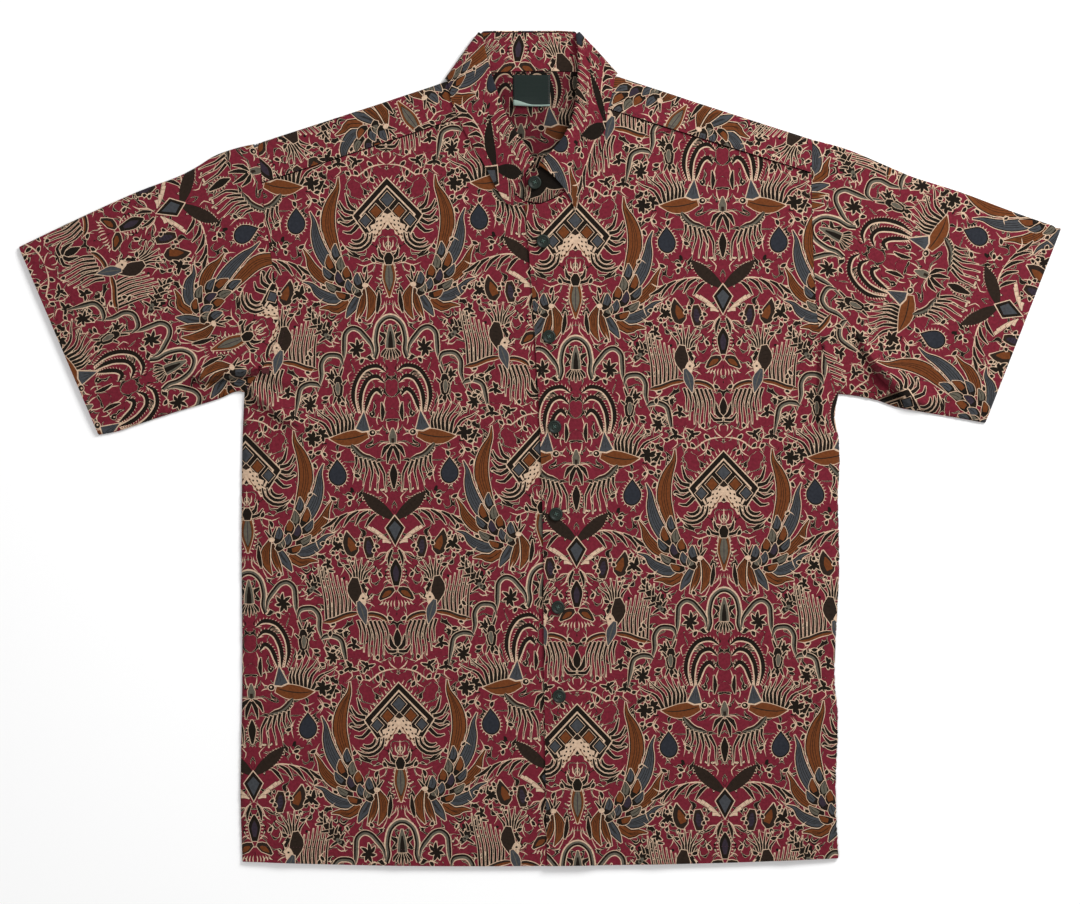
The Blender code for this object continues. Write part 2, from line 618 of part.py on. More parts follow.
def collar_leaf():
    """The fall: it rolls over the top of the stand and lies on the fronts, or under the back."""
    shares = np.array((0.12, 0.3, 0.5, 0.72, 0.88, 1))
    middle, outward = [], []
    for row, angle, side, weight, square in collar_rows():
        edge = np.array(row[4:6]) * MM
        roll = roll_axis(row, edge, square, weight)
        up = unit(roll - edge)
        loft = COLLAR_LOFT * weight
        away = away_from_neck(edge, roll)
        line = roll + np.concatenate([[0], shares])[:, None] * (edge - roll)
        across = np.array([-up[1], up[0]])
        bow = row[6] * MM * 4 * shares * (1 - shares)
        line[1:] += bow[:, None] * (across if across[0] < 0 else -across)
        high = left_height(line) if side == LEFT else front_height(line)
        offset = LAYER + loft * (1 - np.concatenate([[0], shares])) ** 2 + FALL_EASE * min(1, 3 * weight)
        if side == RIGHT and angle == math.pi:
            offset = offset + right_fall_lift(line)
        low = back_height(line)
        aways = np.tile(away, (len(line), 1))
        fall, out = turned(line, aways, angle, low, high, offset)
        half = offset[0] / 2
        start, normal = turned(line[:1], aways[:1], angle, low[:1], high[:1])
        start, normal = start[0], normal[0]
        along = np.append(square, 0.0)
        for k in range(TURN_STEPS):
            turn = math.pi * k / TURN_STEPS
            middle.append(start + normal * half * (1 - math.cos(turn)) + along * half * math.sin(turn))
            outward.append(along * math.sin(turn) - normal * math.cos(turn))
        middle.extend(fall)
        outward.extend(out)
    middle, outward = np.array(middle), np.array(outward)
    index = np.arange(len(middle)).reshape(-1, TURN_STEPS + 1 + len(shares))
    wall("collar_leaf", middle, outward, net(index), CLOTH_RED)


# Label and buttons

def neck_label():
    """A small label, sewn in at the back neck seam and lying on the inside of the yoke."""
    width, length = np.array(LABEL_SIZE) * MM
    top = np.array(LABEL_TOP) * MM
    x = top[0] + width * np.linspace(-0.5, 0.5, 5)
    y = top[1] - length * np.array((0, 0.3, 0.6, 0.85, 1))
    grid = np.dstack(np.meshgrid(x, y))
    curl = 0.9 * MM * np.clip((top[1] - grid[..., 1]) / length - 0.5, 0, 1) ** 2 * 4
    height = back_height(grid) + WALL / 2 + GAP + LABEL_WALL / 2 + curl
    middle = np.dstack([grid, height]).reshape(-1, 3)
    outward = np.tile((0, 0, 1.0), (len(middle), 1))
    cells = net(np.arange(25).reshape(5, 5))
    wall("neck_label", middle, outward, cells, LABEL_GREEN, 0.6, LABEL_WALL)


def button_mesh():
    """A turned disc with a rounded rim and a dished middle, and four holes."""
    r, h = BUTTON_RADIUS, BUTTON_HEIGHT
    profile = (
        (0, 0), (0.72 * r, 0), (r, 0.4 * h), (0.95 * r, 0.85 * h), (0.84 * r, h),
        (0.62 * r, h - BUTTON_DISH), (0, h - BUTTON_DISH),
    )
    form = bmesh.new()
    points = [form.verts.new((x, 0, z)) for x, z in profile]
    edges = [form.edges.new(pair) for pair in zip(points[:-1], points[1:])]
    bmesh.ops.spin(
        form, geom=points + edges, cent=(0, 0, 0), axis=(0, 0, 1), angle=2 * math.pi, steps=16,
    )
    bmesh.ops.remove_doubles(form, verts=form.verts, dist=0.01 * MM)
    bmesh.ops.recalc_face_normals(form, faces=form.faces)
    mesh = bpy.data.meshes.new("button")
    form.to_mesh(mesh)
    form.free()
    disc = bpy.data.objects.new("disc", mesh)
    bpy.context.collection.objects.link(disc)
    drill = bmesh.new()
    for x in (-1, 1):
        for y in (-1, 1):
            made = bmesh.ops.create_cone(
                drill, cap_ends=True, segments=6, radius1=HOLE_RADIUS, radius2=HOLE_RADIUS, depth=4 * h
            )
            bmesh.ops.translate(drill, verts=made["verts"], vec=(x * HOLE_OFFSET, y * HOLE_OFFSET, 0))
    drill_mesh = bpy.data.meshes.new("drill")
    drill.to_mesh(drill_mesh)
    drill.free()
    cutter = bpy.data.objects.new("drill", drill_mesh)
    bpy.context.collection.objects.link(cutter)
    cut = disc.modifiers.new("holes", "BOOLEAN")
    cut.operation = "DIFFERENCE"
    cut.object = cutter
    graph = bpy.context.evaluated_depsgraph_get()
    drilled = bpy.data.meshes.new_from_object(disc.evaluated_get(graph))
    for made in (disc, cutter):
        bpy.data.objects.remove(made, do_unlink=True)
    drilled.materials.clear()
    drilled.shade_smooth()
    drilled.set_sharp_from_angle(angle=math.radians(40))
    drilled.materials.append(material("button_finish", BUTTON_GREEN, 0.35))
    return drilled


def buttons():
    """Seven equal buttons that lie just above the cloth that they are sewn to."""
    mesh = button_mesh()
    angles = np.linspace(0, 2 * math.pi, 13)
    ring = BUTTON_RADIUS * np.column_stack([np.cos(angles), np.sin(angles)])
    for number, centre in enumerate(BUTTONS, 1):
        centre = np.array(centre) * MM
        seat = max(left_height(centre + ring).max(), left_height(centre)) + WALL / 2 + GAP
        made = bpy.data.objects.new(f"button_{number}", mesh)
        made.location = (*centre, seat)
        bpy.context.collection.objects.link(made)


for old in list(bpy.data.objects):
    bpy.data.objects.remove(old, do_unlink=True)

back()
yoke()
for side in (RIGHT, LEFT):
    front(side)
    sleeve(side)
collar_band()
collar_leaf()
neck_label()
buttons()
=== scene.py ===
"""The looks of a short-sleeved batik shirt, buttoned up and laid flat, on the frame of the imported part.

Plans and figures are in millimetres, X towards the wearer's left and Y towards the collar. Meshes are
in metres. Every cut piece is a thin shell on the form of its solid: a triangulation of the piece in the
plane of the cloth, along the lines of its print, that is then laid on the piece's middle surface.
"""

import math

import bpy
import numpy as np
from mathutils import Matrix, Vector
from mathutils.geometry import delaunay_2d_cdt


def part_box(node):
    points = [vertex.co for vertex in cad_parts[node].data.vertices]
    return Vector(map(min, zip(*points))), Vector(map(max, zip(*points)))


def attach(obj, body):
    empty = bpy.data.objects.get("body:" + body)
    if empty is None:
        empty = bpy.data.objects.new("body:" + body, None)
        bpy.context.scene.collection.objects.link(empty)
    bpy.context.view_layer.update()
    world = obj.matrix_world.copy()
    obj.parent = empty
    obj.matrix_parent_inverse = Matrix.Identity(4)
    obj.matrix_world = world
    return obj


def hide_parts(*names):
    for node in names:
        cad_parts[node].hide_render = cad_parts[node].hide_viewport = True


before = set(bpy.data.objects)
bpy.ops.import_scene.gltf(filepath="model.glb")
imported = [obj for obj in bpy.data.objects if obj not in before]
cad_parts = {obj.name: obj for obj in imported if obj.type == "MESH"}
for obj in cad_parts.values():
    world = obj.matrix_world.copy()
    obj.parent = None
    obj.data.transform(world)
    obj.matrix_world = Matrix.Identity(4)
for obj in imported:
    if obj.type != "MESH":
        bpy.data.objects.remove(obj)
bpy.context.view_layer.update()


# ---- The batik figure ----
# One column of the print, resist-drawn in cream on maroon, as outlines in painter's order.
# Each shape is drawn on the right of the column's axis, x from the axis and y down, and mirrored.

MAROON, CREAM, GREEN, BROWN, SLATE, GREY, PLUM, UMBER, INK, INSIDE = range(10)
LINE = 0.66  # drawn lines and outlines come out at this share of the width that they are given
NEARLY = 0.06  # a point of an outline that is this near to the line between its neighbours is left out
POINTED = 0.45  # a band that is less than this wide to each side at an end comes to a point there
DARKER = 0.18  # dark leaves are this much wider to each side than they are given
figure = []


def smooth(points, steps):
    """Catmull-Rom curve through the rows of points, with so many steps between two rows."""
    p = np.asarray(points, float)
    p = np.vstack([2 * p[0] - p[1], p, 2 * p[-1] - p[-2]])
    t = (np.arange(steps) / steps)[:, None]
    spans = [
        (2 * b + (c - a) * t + (2 * a - 5 * b + 4 * c - d) * t**2 + (3 * b - a - 3 * c + d) * t**3) / 2
        for a, b, c, d in zip(p[:-3], p[1:-2], p[2:-1], p[3:])
    ]
    return np.vstack(spans + [p[-2:-1]])


def unit(v):
    """Vectors, brought to length 1."""
    return v / np.maximum(np.linalg.norm(v, axis=-1, keepdims=True), 1e-9)


def left_of(v):
    """Plane vectors, turned a quarter to their left."""
    return np.stack([-v[..., 1], v[..., 0]], axis=-1)


def lengths_along(line):
    """Distance from the start of a line to each of its points, along it."""
    return np.r_[0, np.cumsum(np.linalg.norm(np.diff(line, axis=0), axis=1))]


def thinned(points):
    """Drops points that lie almost on the line between their neighbours, never two in a row."""
    for start in (0, 1):
        before, chord = np.roll(points, 1, 0), np.roll(points, -1, 0) - np.roll(points, 1, 0)
        square = abs(chord[:, 0] * (points - before)[:, 1] - chord[:, 1] * (points - before)[:, 0])
        drop = (square < NEARLY * np.linalg.norm(chord, axis=1)) & (np.arange(len(points)) % 2 == start)
        if len(points) - drop.sum() >= 3:
            points = points[~drop]
    return points


def shape(points, dye):
    """Adds a filled outline, and its mirror image unless it stands on the axis."""
    points = thinned(np.asarray(points, float))
    figure.append((points, dye))
    if abs(points[:, 0].mean()) > 0.05:
        figure.append((points * (-1, 1), dye))


def ribbon(points, halves, longer=0.0):
    """Outline of a band along a smooth curve through the points, with a half-width at each of them."""
    points = np.asarray(points, float)
    stretch = np.linalg.norm(np.diff(points, axis=0), axis=1).mean()
    line = smooth(np.column_stack([points, halves]), int(np.clip(stretch / 3.4, 2, 4)))
    run = unit(np.gradient(line[:, :2], axis=0))
    path, half = line[:, :2].copy(), line[:, 2:]
    path[0] -= run[0] * longer
    path[-1] += run[-1] * longer
    first, last = int(half[0, 0] < POINTED), len(path) - int(half[-1, 0] < POINTED)
    out = left_of(run) * half
    return np.vstack([path[:first], (path + out)[first:last], path[last:], (path - out)[first:last][::-1]])


def stroke(points, half, tip=0.4, dye=CREAM):
    """A drawn line that thins towards both ends."""
    halves = np.full(len(points), float(half))
    halves[0] = halves[-1] = tip
    shape(ribbon(points, halves * (LINE if dye == CREAM else 1)), dye)


def blade(points, halves, dye, rim, rim_dye=CREAM, vein=None):
    """A leaf, plume or body along a curve, with an outline round it and a vein along it."""
    halves = np.asarray(halves, float) + (DARKER if dye == GREEN else 0)
    if rim:
        shape(ribbon(points, halves + rim * LINE, rim * LINE), rim_dye)
    shape(ribbon(points, halves), dye)
    if vein is not None:
        shape(ribbon(points, halves * 0.05 + 0.16), vein)


def oval(x, y, rx, ry, dye, turn=0.0, count=14):
    """Adds an oval about a middle, with half its width and height, turned by an angle."""
    a = np.linspace(0, 2 * math.pi, count, endpoint=False)
    px, py = rx * np.cos(a), ry * np.sin(a)
    c, s = math.cos(turn), math.sin(turn)
    shape(np.column_stack([x + c * px - s * py, y + s * px + c * py]), dye)


def burst(x, y, tips, half=1.5):
    """A dark sprig of pointed leaves that all grow from one place, outlined together."""
    for add, dye in ((0.9 * LINE, CREAM), (0.0, GREEN)):
        for tx, ty in tips:
            points = [(x, y), (x + tx * 0.55 + ty * 0.08, y + ty * 0.55 - tx * 0.08), (x + tx, y + ty)]
            shape(ribbon(points, np.array([0.8, half, 0.2]) + add, add), dye)


def star(x, y, reach, spikes=6, turn=0.3):
    """A burst that opens all round, with uneven leaves."""
    angles = turn + (np.arange(spikes) + 0.25 * np.sin(2.6 * np.arange(spikes) + turn)) * 2 * math.pi / spikes
    lengths = reach * (0.95 + 0.3 * np.sin(3.1 * np.arange(spikes) + 2 * turn))
    burst(x, y, np.column_stack([lengths * np.cos(angles), lengths * np.sin(angles)]), 0.24 * reach)


def fringe(points, length, spacing, lean=0.0, half=0.55, side=1):
    """Short pointed strokes that stand on one side of a curve."""
    line = smooth(points, 6)
    run = lengths_along(line)
    for at in np.arange(spacing / 2, run[-1], spacing):
        places = np.array((at, min(at + 0.5, run[-1]), max(at - 0.5, 0)))
        here, ahead, behind = np.column_stack([np.interp(places, run, line[:, k]) for k in (0, 1)])
        along = unit(ahead - behind)
        out = side * left_of(along) * math.cos(lean) + along * math.sin(lean)
        across = left_of(out) * half
        shape([here - across, here + across, here + out * length], CREAM)


def banded(line, across, stripes):
    """Bands along a line: offset, half-width and dye of each."""
    for offset, half, dye in stripes:
        shape(np.vstack([line + across * (offset + half), (line + across * (offset - half))[::-1]]), dye)


def striped(points, stripes):
    """Bands beside each other along one curve, which taper together at both its ends."""
    line = smooth(points, 5)
    taper = np.minimum(1, np.linspace(0.25, 4, len(line))) * np.minimum(1, np.linspace(4, 0.25, len(line)))
    across = left_of(unit(np.gradient(line, axis=0))) * taper[:, None]
    wider = {CREAM: LINE}
    banded(line, across, [(offset, half * wider.get(dye, 1.15), dye) for offset, half, dye in stripes])


def rays(starts, ends, bend, half=0.75):
    """A row of curved dark strokes from one line to another, outlined in cream."""
    for k, (a, b) in enumerate(zip(np.asarray(starts, float), np.asarray(ends, float))):
        across = left_of(b - a) * (bend if np.isscalar(bend) else bend[k])
        path = [a, a * 0.6 + b * 0.4 + across, a * 0.25 + b * 0.75 + across * 0.3, b]
        blade(path, [half * 1.9, half * 1.3, half * 0.6, 0.1], GREEN, 0.75)


def twig(points, leaves=(), half=0.7):
    """A drawn tendril with small dark leaves: share of the way, side and length of each."""
    line = smooth(points, 6)
    for share, side, length in leaves:
        k = int(share * (len(line) - 2))
        along = unit(line[k + 1] - line[k])
        tip = line[k] + unit(along * 0.5 + side * left_of(along)) * length * 1.2
        blade([line[k], (line[k] + tip) / 2 + along * 0.4, tip], [0.5, 1.6, 0.25], GREEN, 0.8)
    stroke(points, half)


def small_leaves(ends, halves, rim, bow=0.0):
    """Small dark leaves: root and tip of each, and how far their middles bow to the right."""
    for root, tip in np.asarray(ends, float):
        blade([root, (root + tip) / 2 + (bow, 0), tip], halves, GREEN, rim)


# Pavilion: a steep roof over a lattice of lozenges, its eaves hung with hooks
fringe([(2, -0.5), (33, 32)], 4.2, 3.9, lean=-0.35, half=0.6, side=-1)
shape([(0, -1.4), (33, 33.6), (17.8, 56.5), (0, 37), (-17.8, 56.5), (-33, 33.6)], CREAM)
shape([(0, 0), (31.6, 33.6), (17.8, 54.6), (0, 36), (-17.8, 54.6), (-31.6, 33.6)], GREEN)
shape([(0, 6.2), (25.8, 33.6), (17, 49), (15.6, 47.6), (23.8, 33.6), (0, 8.2)], CREAM)
for cx, cy, w, dye in ((0, 19.5, 7.6, SLATE), (10.6, 30.2, 7, BROWN), (20.4, 38.4, 6.4, SLATE),
                       (0, 33, 6, UMBER)):
    for add, tone in ((1.0, CREAM), (0.3, GREEN), (-1.2, dye)):
        r = w + add
        shape([(cx, cy - r), (cx + r * 0.9, cy), (cx, cy + r), (cx - r * 0.9, cy)], tone)
shape([(0, 33), (4, 31), (6, 35), (10.5, 36), (11.5, 41), (16, 43), (15, 48), (19, 51), (17.5, 57),
       (12.5, 58), (10, 53), (6.5, 51), (5.5, 47), (2.5, 46), (0, 42)], CREAM)
for x, y in ((6, 38.6), (10, 43.2), (14.4, 47.2), (8.2, 48), (13.5, 55), (3.6, 35), (3, 41.6), (6.3, 42.8),
             (9.8, 39.4), (12.6, 51.4), (16.6, 51.8), (11.6, 46.6), (9.6, 51.6), (17, 55.6)):
    oval(x, y, 1.25, 0.85, UMBER, 0.9, 5)
stroke([(1, 38.6), (5, 45.2), (8.6, 49.6), (13, 53), (17.2, 53.6)], 0.35, 0.2, BROWN)
for points in ([(29, 29), (35, 24), (38, 13)], [(31, 31), (39, 29), (44, 20)], [(32, 35), (39, 36), (45, 29)],
               [(30, 38), (37, 42), (44, 39)], [(27, 42), (34, 49), (41, 48)]):
    blade(points, [1.5, 1.3, 0.3], GREEN, 0.8)
for r in (6.5, 10.5, 14.5):
    a = np.radians((185, 150, 110, 75, 48))
    blade(np.column_stack([29 + r * np.cos(a), 51 + r * np.sin(a)]), [0.5, 1.1, 1.3, 1.0, 0.3], GREEN, 0.75)

# Crown, horned head and fringed leaf below it
stroke([(0, 66), (0, 60), (0, 52)], 1.1)
stroke([(0, 66.5), (4, 62), (4.4, 56)], 0.9)
stroke([(1, 67.5), (8, 66), (9.5, 59.5)], 1.0)
blade([(3, 73.5), (7.5, 70), (9, 63.5)], [1.6, 1.4, 0.3], GREEN, 0.8)
blade([(4, 76), (10.5, 74.5), (14.5, 69)], [1.3, 1.1, 0.3], GREEN, 0.75)
twig([(6, 79), (14, 77), (22, 80), (30, 77)], ((0.35, -1, 5), (0.7, 1, 6)))
stroke([(12, 78), (15, 84), (21, 87)], 0.6)
fringe([(3.2, 78), (6.8, 90), (5.4, 101), (1.2, 109)], 2.6, 3.3, half=0.75, side=-1)
blade([(0, 76), (0, 84), (0, 93), (0, 109)], [3.2, 5.2, 5.4, 0.6], BROWN, 0.9)
blade([(0, 78), (0, 86), (0, 94), (0, 103)], [1.2, 3.2, 3.3, 0.4], GREY, 0.5, UMBER, PLUM)
blade([(0, 68), (0, 73), (0, 79)], [1.4, 4.2, 2.4], GREEN, 0.9)

# Great wing: long plumes, then the small feathers that lap over their quills
for points, halves, dye in (
    ([(44.5, -2), (45.5, 8), (50.5, 19), (54, 31), (54.5, 44), (51, 58), (46, 73)],
     [0.3, 2.0, 4.4, 6.0, 6.4, 5.2, 3.2], BROWN),
    ([(71, 29), (67.5, 38), (66.5, 50), (62.5, 64), (55, 77), (47, 86)],
     [0.3, 1.8, 4.0, 5.4, 5.2, 3.6], SLATE),
    ([(78, 63), (73.5, 71), (70, 80), (62, 89), (52, 95)], [0.3, 2.0, 4.2, 4.8, 3.6], BROWN),
    ([(79, 93), (71, 96), (65, 103), (54.5, 108.5), (43, 109)], [0.3, 1.8, 4.0, 5.0, 4.2], SLATE),
    ([(64, 118), (56, 117), (48, 119), (37.5, 112)], [0.3, 2.4, 4.0, 4.0], BROWN),
    ([(40, 127), (36, 120), (30.5, 112), (25, 101)], [0.4, 3.4, 4.2, 1.0], SLATE),
    ([(31, 130), (27.5, 122), (24.5, 113), (23, 101)], [0.4, 2.8, 3.2, 0.8], BROWN),
    ([(21.5, 129.5), (17, 120), (16, 109), (21, 97)], [0.3, 3.4, 4.2, 0.8], BROWN),
):
    blade(points, halves, GREEN, 1.0)
    blade(points, [max(0.2, half - 0.75) for half in halves], dye, 0)
    inner = np.array(points[1:], float)
    for share in (-0.4, 0.0, 0.4):
        stroke(inner + np.outer(np.array(halves[1:]) * share, (0.8, 0.5)), 0.22, 0.15, GREEN)
for (ax, ay), (bx, by), half, dye in (
    ((55, 69), (48, 85), 3.4, BROWN), ((48.5, 59), (43.5, 75), 3.3, SLATE), ((60, 80), (48, 91), 3.1, SLATE),
    ((43.5, 71), (40, 87), 3.6, GREY), ((58, 94), (44, 101), 3.2, GREY), ((47, 84), (40, 97), 3.4, PLUM),
    ((38.5, 80), (35, 93), 3.7, BROWN), ((49, 103), (36, 107), 3.0, BROWN), ((38, 92), (31, 104), 3.5, SLATE),
    ((31, 95), (26, 107), 3.2, GREY), ((29, 86), (24, 100), 3.6, SLATE),
):
    tip, root = np.array((ax, ay)), np.array((bx, by))
    bulge = np.array([by - ay, ax - bx]) * 0.14
    path = [tip, tip * 0.65 + root * 0.35 + bulge, tip * 0.3 + root * 0.7 + bulge, root]
    blade(path, [0.4, half, half * 1.08, half * 0.5], GREEN, 0.8)
    blade(path[:3], [0.2, half - 0.6, half * 0.6], dye, 0)
    if dye in (GREY, SLATE):
        stroke(path[:3], 0.25, 0.15, GREEN)
blade([(22, 97), (20, 84)], [1.4, 0.3], GREEN, 0.7)
blade([(22, 97), (26.5, 86)], [1.3, 0.3], GREEN, 0.7)
blade([(22, 97), (16, 89)], [1.3, 0.3], GREEN, 0.7)
oval(22, 97.5, 2.8, 2.2, CREAM)

# Small sprays beside the leaf
blade([(12, 123), (10, 113), (9.5, 103)], [0.8, 1.9, 0.3], GREEN, 0.75)
stroke([(12, 123), (6, 118), (4.5, 112)], 0.7)
stroke([(12, 121), (17, 132), (24, 133)], 0.7)
stroke([(3, 114), (3.5, 121), (9, 127)], 0.7)
for x in (0, 4.5):
    stroke([(x * 0.5, 111), (x, 117 + x * 0.4)], 0.7)

# Mountains: the arch on the axis with a tree in it, and the ones that step down beside it
half_arch = [(15.5, 164), (13.2, 157), (14, 147), (11.5, 135), (6, 128.5), (0, 126.5)]
arch = smooth(half_arch + [(-x, y) for x, y in half_arch[-2::-1]], 4)
banded(arch, -left_of(unit(np.gradient(arch, axis=0))),
       ((2.6, 0.6, CREAM), (1.2, 1.1, GREEN), (-0.5, 1.0, GREY), (-2.0, 0.7, CREAM)))
for points in (
    [(16, 161), (17.5, 153), (23, 145), (29, 138.5), (35.5, 137), (41, 142), (42, 151), (43, 162), (48, 177)],
    [(44, 170), (46.5, 163), (52, 161), (59, 162), (63.5, 169), (63.5, 180), (68, 194)],
    [(65, 190), (69, 187.5), (76, 187), (83, 191), (85.5, 201), (88.5, 216)],
):
    striped(points, ((-2.8, 0.55, CREAM), (-1.3, 1.1, GREEN), (0.4, 0.9, GREY), (1.9, 0.7, CREAM)))
blade([(0, 134), (0, 145), (0, 157)], [0.8, 3.6, 4.6], GREY, 0.8)
blade([(0, 140), (0, 148), (0, 156)], [0.5, 1.8, 2.2], GREEN, 0)
for x in (0.01, 3.2, 6.0, 8.4):
    blade([(x * 0.5, 156), (x * 0.9, 160), (x, 167.5 - x * 0.55)], [0.6, 1.1, 0.3], GREEN, 0.6)

# Ferns and sprigs in the hollows of the mountains
blade([(75.5, 122), (67, 131), (60, 140), (53, 148)], [0.4, 3.2, 3.6, 1.6], GREEN, 0.9)
small_leaves((((70, 127), (70, 119)), ((65, 132), (64, 124)), ((61, 137), (58, 129)), ((72, 127), (79, 128)),
              ((67, 134), (75, 135)), ((63, 139), (70, 142)), ((59, 144), (66, 149)), ((56, 142), (52, 136))),
             [1.1, 0.9, 0.25], 0.65, 0.6)
oval(58, 143.5, 3.4, 2.0, GREY, -0.8)
oval(57.4, 144, 1.1, 0.9, UMBER)
for end in ((46, 150), (48, 142), (52, 154)):
    stroke([(54, 147), ((54 + end[0]) / 2, (147 + end[1]) / 2 + 1), end], 0.7)
sprig = np.array(((-6, -7), (0, -10), (7, -6), (7, 2), (-7, 1), (-3, 8), (3, 7)))
for x, y, s in ((31, 156, 1.0), (75, 206, 0.9), (55, 181, 0.7)):
    burst(x, y, sprig * s, 1.7 * s)

# Peacock tails that hang over the facing birds
for points in ([(5, 177), (13, 171.5), (25, 174.5), (33, 186), (35.5, 200), (32, 214)],
               [(6.5, 187), (13, 181), (21.5, 183.5), (27, 193), (29, 203), (28.2, 214)],
               [(8.5, 199), (13, 193), (18.5, 196), (22.5, 204), (24.8, 213)]):
    fringe(points, 4.1, 2.5, lean=0.6, half=0.85, side=-1)
    fringe(points, 5.4, 2.5, lean=0.8, half=1.1, side=1)
    striped(points, ((2.3, 1.2, CREAM), (0, 1.6, GREEN)))

# Beetle, facing birds, and the plant between them
blade([(48.5, 178), (49, 190), (48, 206)], [1.2, 4.4, 0.8], GREEN, 0.85)
blade([(49.3, 186), (49.5, 191), (49, 197)], [0.8, 2.2, 0.6], GREY, 0.4)
small_leaves((((47, 180), (44, 172)), ((50, 180), (53, 172)), ((53, 188), (57, 183)), ((45, 188), (41, 184)),
              ((46, 199), (42, 205)), ((51, 199), (54, 206))), [0.9, 0.8, 0.25], 0.65)
rays(np.linspace((37, 230), (56, 235.5), 7),
     [(38, 215), (42.5, 211), (48, 207.5), (54.5, 206), (62, 206.5), (70, 209), (79, 215)],
     (-0.1, -0.11, -0.12, -0.13, -0.14, -0.14, -0.14))
blade([(58, 237), (46, 238), (34, 236.5), (23, 233.5)], [0.4, 5.6, 6.6, 3.6], BROWN, 0.95, vein=UMBER)
shape([(25.8, 210.5), (35.2, 229.5), (28, 232.5), (20, 231.5)], CREAM)
shape([(25.8, 213), (33.6, 228.6), (27.5, 231.2), (21.2, 230.4)], SLATE)
for x, y in ((23.4, 229), (27.4, 229.8), (31, 227.6)):
    stroke([(25.9, 217), (x, y)], 0.22, 0.15, GREEN)
oval(18.6, 232.6, 3.6, 3.2, CREAM)
oval(18.6, 232.6, 2.8, 2.5, GREEN)
oval(18.2, 232.2, 1.0, 0.9, CREAM)
stroke([(16, 231), (12, 230.5), (9.5, 227)], 0.9)
stroke([(16, 234), (12, 234), (9, 236)], 0.7)
striped([(38, 243), (33, 250), (26, 255), (16, 257)],
        ((-3.4, 0.6, CREAM), (-1.9, 1.1, GREEN), (0, 1.0, GREY), (1.8, 0.9, UMBER), (3.3, 0.6, CREAM)))
fringe([(38, 246), (33, 253), (26, 258), (17, 260)], 2.6, 2.6, half=0.6, side=-1)
rays(np.linspace((34, 254), (14, 260), 6),
     [(37, 268), (33, 276), (28, 281), (22, 285), (15, 287.5), (7.5, 287)], 0.1, 0.6)
blade([(0, 229), (0, 236), (0, 243)], [0.6, 3.4, 2.6], GREY, 0.8)
blade([(0, 238), (0, 242)], [1.3, 1.4], UMBER, 0)
stroke([(2, 234), (5, 228), (5.5, 222)], 0.8)
blade([(1, 244), (7, 247), (10.5, 255)], [1.2, 1.8, 0.3], GREEN, 0.75)
blade([(0.5, 245), (4, 252), (5.5, 261)], [1.0, 1.8, 0.3], GREEN, 0.75)
stroke([(2, 243), (9, 242), (14, 246)], 0.8)
for x, y in ((8, 212), (13, 218), (6, 203)):
    stroke([(x, y + 8), (x + 1.5, y + 3), (x - 1, y - 4)], 0.7)
blade([(9.5, 222), (8.5, 214), (9.5, 205)], [0.4, 1.8, 0.3], GREEN, 0.7)

# Bud on the axis, hearts and blossoms
fringe([(0.8, 264), (4.6, 272), (2.4, 282)], 2.2, 2.7, half=0.6, side=-1)
blade([(0, 262), (0, 271), (0, 284)], [0.4, 3.4, 0.8], GREEN, 0.8)
heart = np.array([(51.5, 256.5), (55.5, 262), (59, 268), (58.6, 274.5), (54.5, 279), (49.5, 280), (44.8, 277),
                  (43.2, 270.5), (46, 263.5)])
middle = heart.mean(0)
ring = smooth(np.vstack([heart, heart[:1]]), 3)[:-1]
fringe(np.vstack([ring, ring[:1]]), 3.2, 2.7, half=0.7, side=-1)
for grow, dye in ((1.1, CREAM), (1.05, GREEN), (0.92, INK)):
    shape(middle + (ring - middle) * grow, dye)
for blossom in ((69, 3, 8, 7, 0.2), (82, 104, 7.5, 6, 0.5), (73, 237, 8, 7, 0.1), (40, 426, 6.5, 5, 0.3),
                (28.5, 446, 6, 5, 0.9), (44, 447, 6.5, 5, 0.5), (62, 352, 5.5, 5, 0.2)):
    star(*blossom)

# Crossed leaves, lozenge and ruffs, with long-leaved tendrils
stroke([(7, 311), (22, 303), (40, 305), (58, 311), (66, 308)], 0.95)
for points in (((24, 304), (31, 308), (36, 317)), ((33, 304), (41, 309), (47, 318)),
               ((43, 306), (51, 311), (57, 321)), ((52, 309), (59, 315), (67, 319)),
               ((16, 306), (22, 311), (27, 319))):
    blade(points, [0.5, 1.5, 0.3], GREEN, 0.75)
fringe([(28.5, 288), (20, 291), (10, 299)], 2.6, 2.6, lean=0.3, half=0.6, side=1)
fringe([(28.5, 288), (25, 297), (14, 308)], 2.2, 2.6, lean=-0.3, half=0.6, side=-1)
blade([(28.5, 287.5), (20.5, 295.5), (10, 304.5), (0.6, 312)], [0.6, 4.9, 4.8, 1.4], UMBER, 0.5, GREEN)
for t in (0.3, 0.45, 0.6, 0.75):
    stroke([(27 - 26 * t - 2, 289.5 + 22 * t - 3), (27 - 26 * t + 1.5, 289.5 + 22 * t + 2)], 0.2, 0.15, GREEN)
for k in range(5):
    t = k / 4
    end = np.array([11.5 + 13.5 * (1 - t), 319 + 13 * t - 3.2 * math.sin(math.pi * t)])
    blade([(4, 334), ((4 + end[0]) / 2, (334 + end[1]) / 2 - 0.8), end], [0.6, 1.3, 1.6], CREAM, 0.35, UMBER)
for grow, dye in ((9.6, CREAM), (8.6, GREEN), (5.6, SLATE)):
    shape([(0, 322.5 - 1.55 * grow), (grow, 320), (0, 322.5 + 1.6 * grow), (-grow, 320)], dye)
stroke([(0.8, 337), (7, 342), (10, 350), (15, 354)], 0.9)
stroke([(7, 342), (14, 343), (18, 348)], 0.75)
blade([(3, 340), (6, 347), (6.5, 354)], [0.8, 1.3, 0.3], GREEN, 0.7)
blade([(44.5, 322), (43, 331), (39, 340), (36, 343)], [0.4, 5.2, 6.4, 3], UMBER, 0.95)
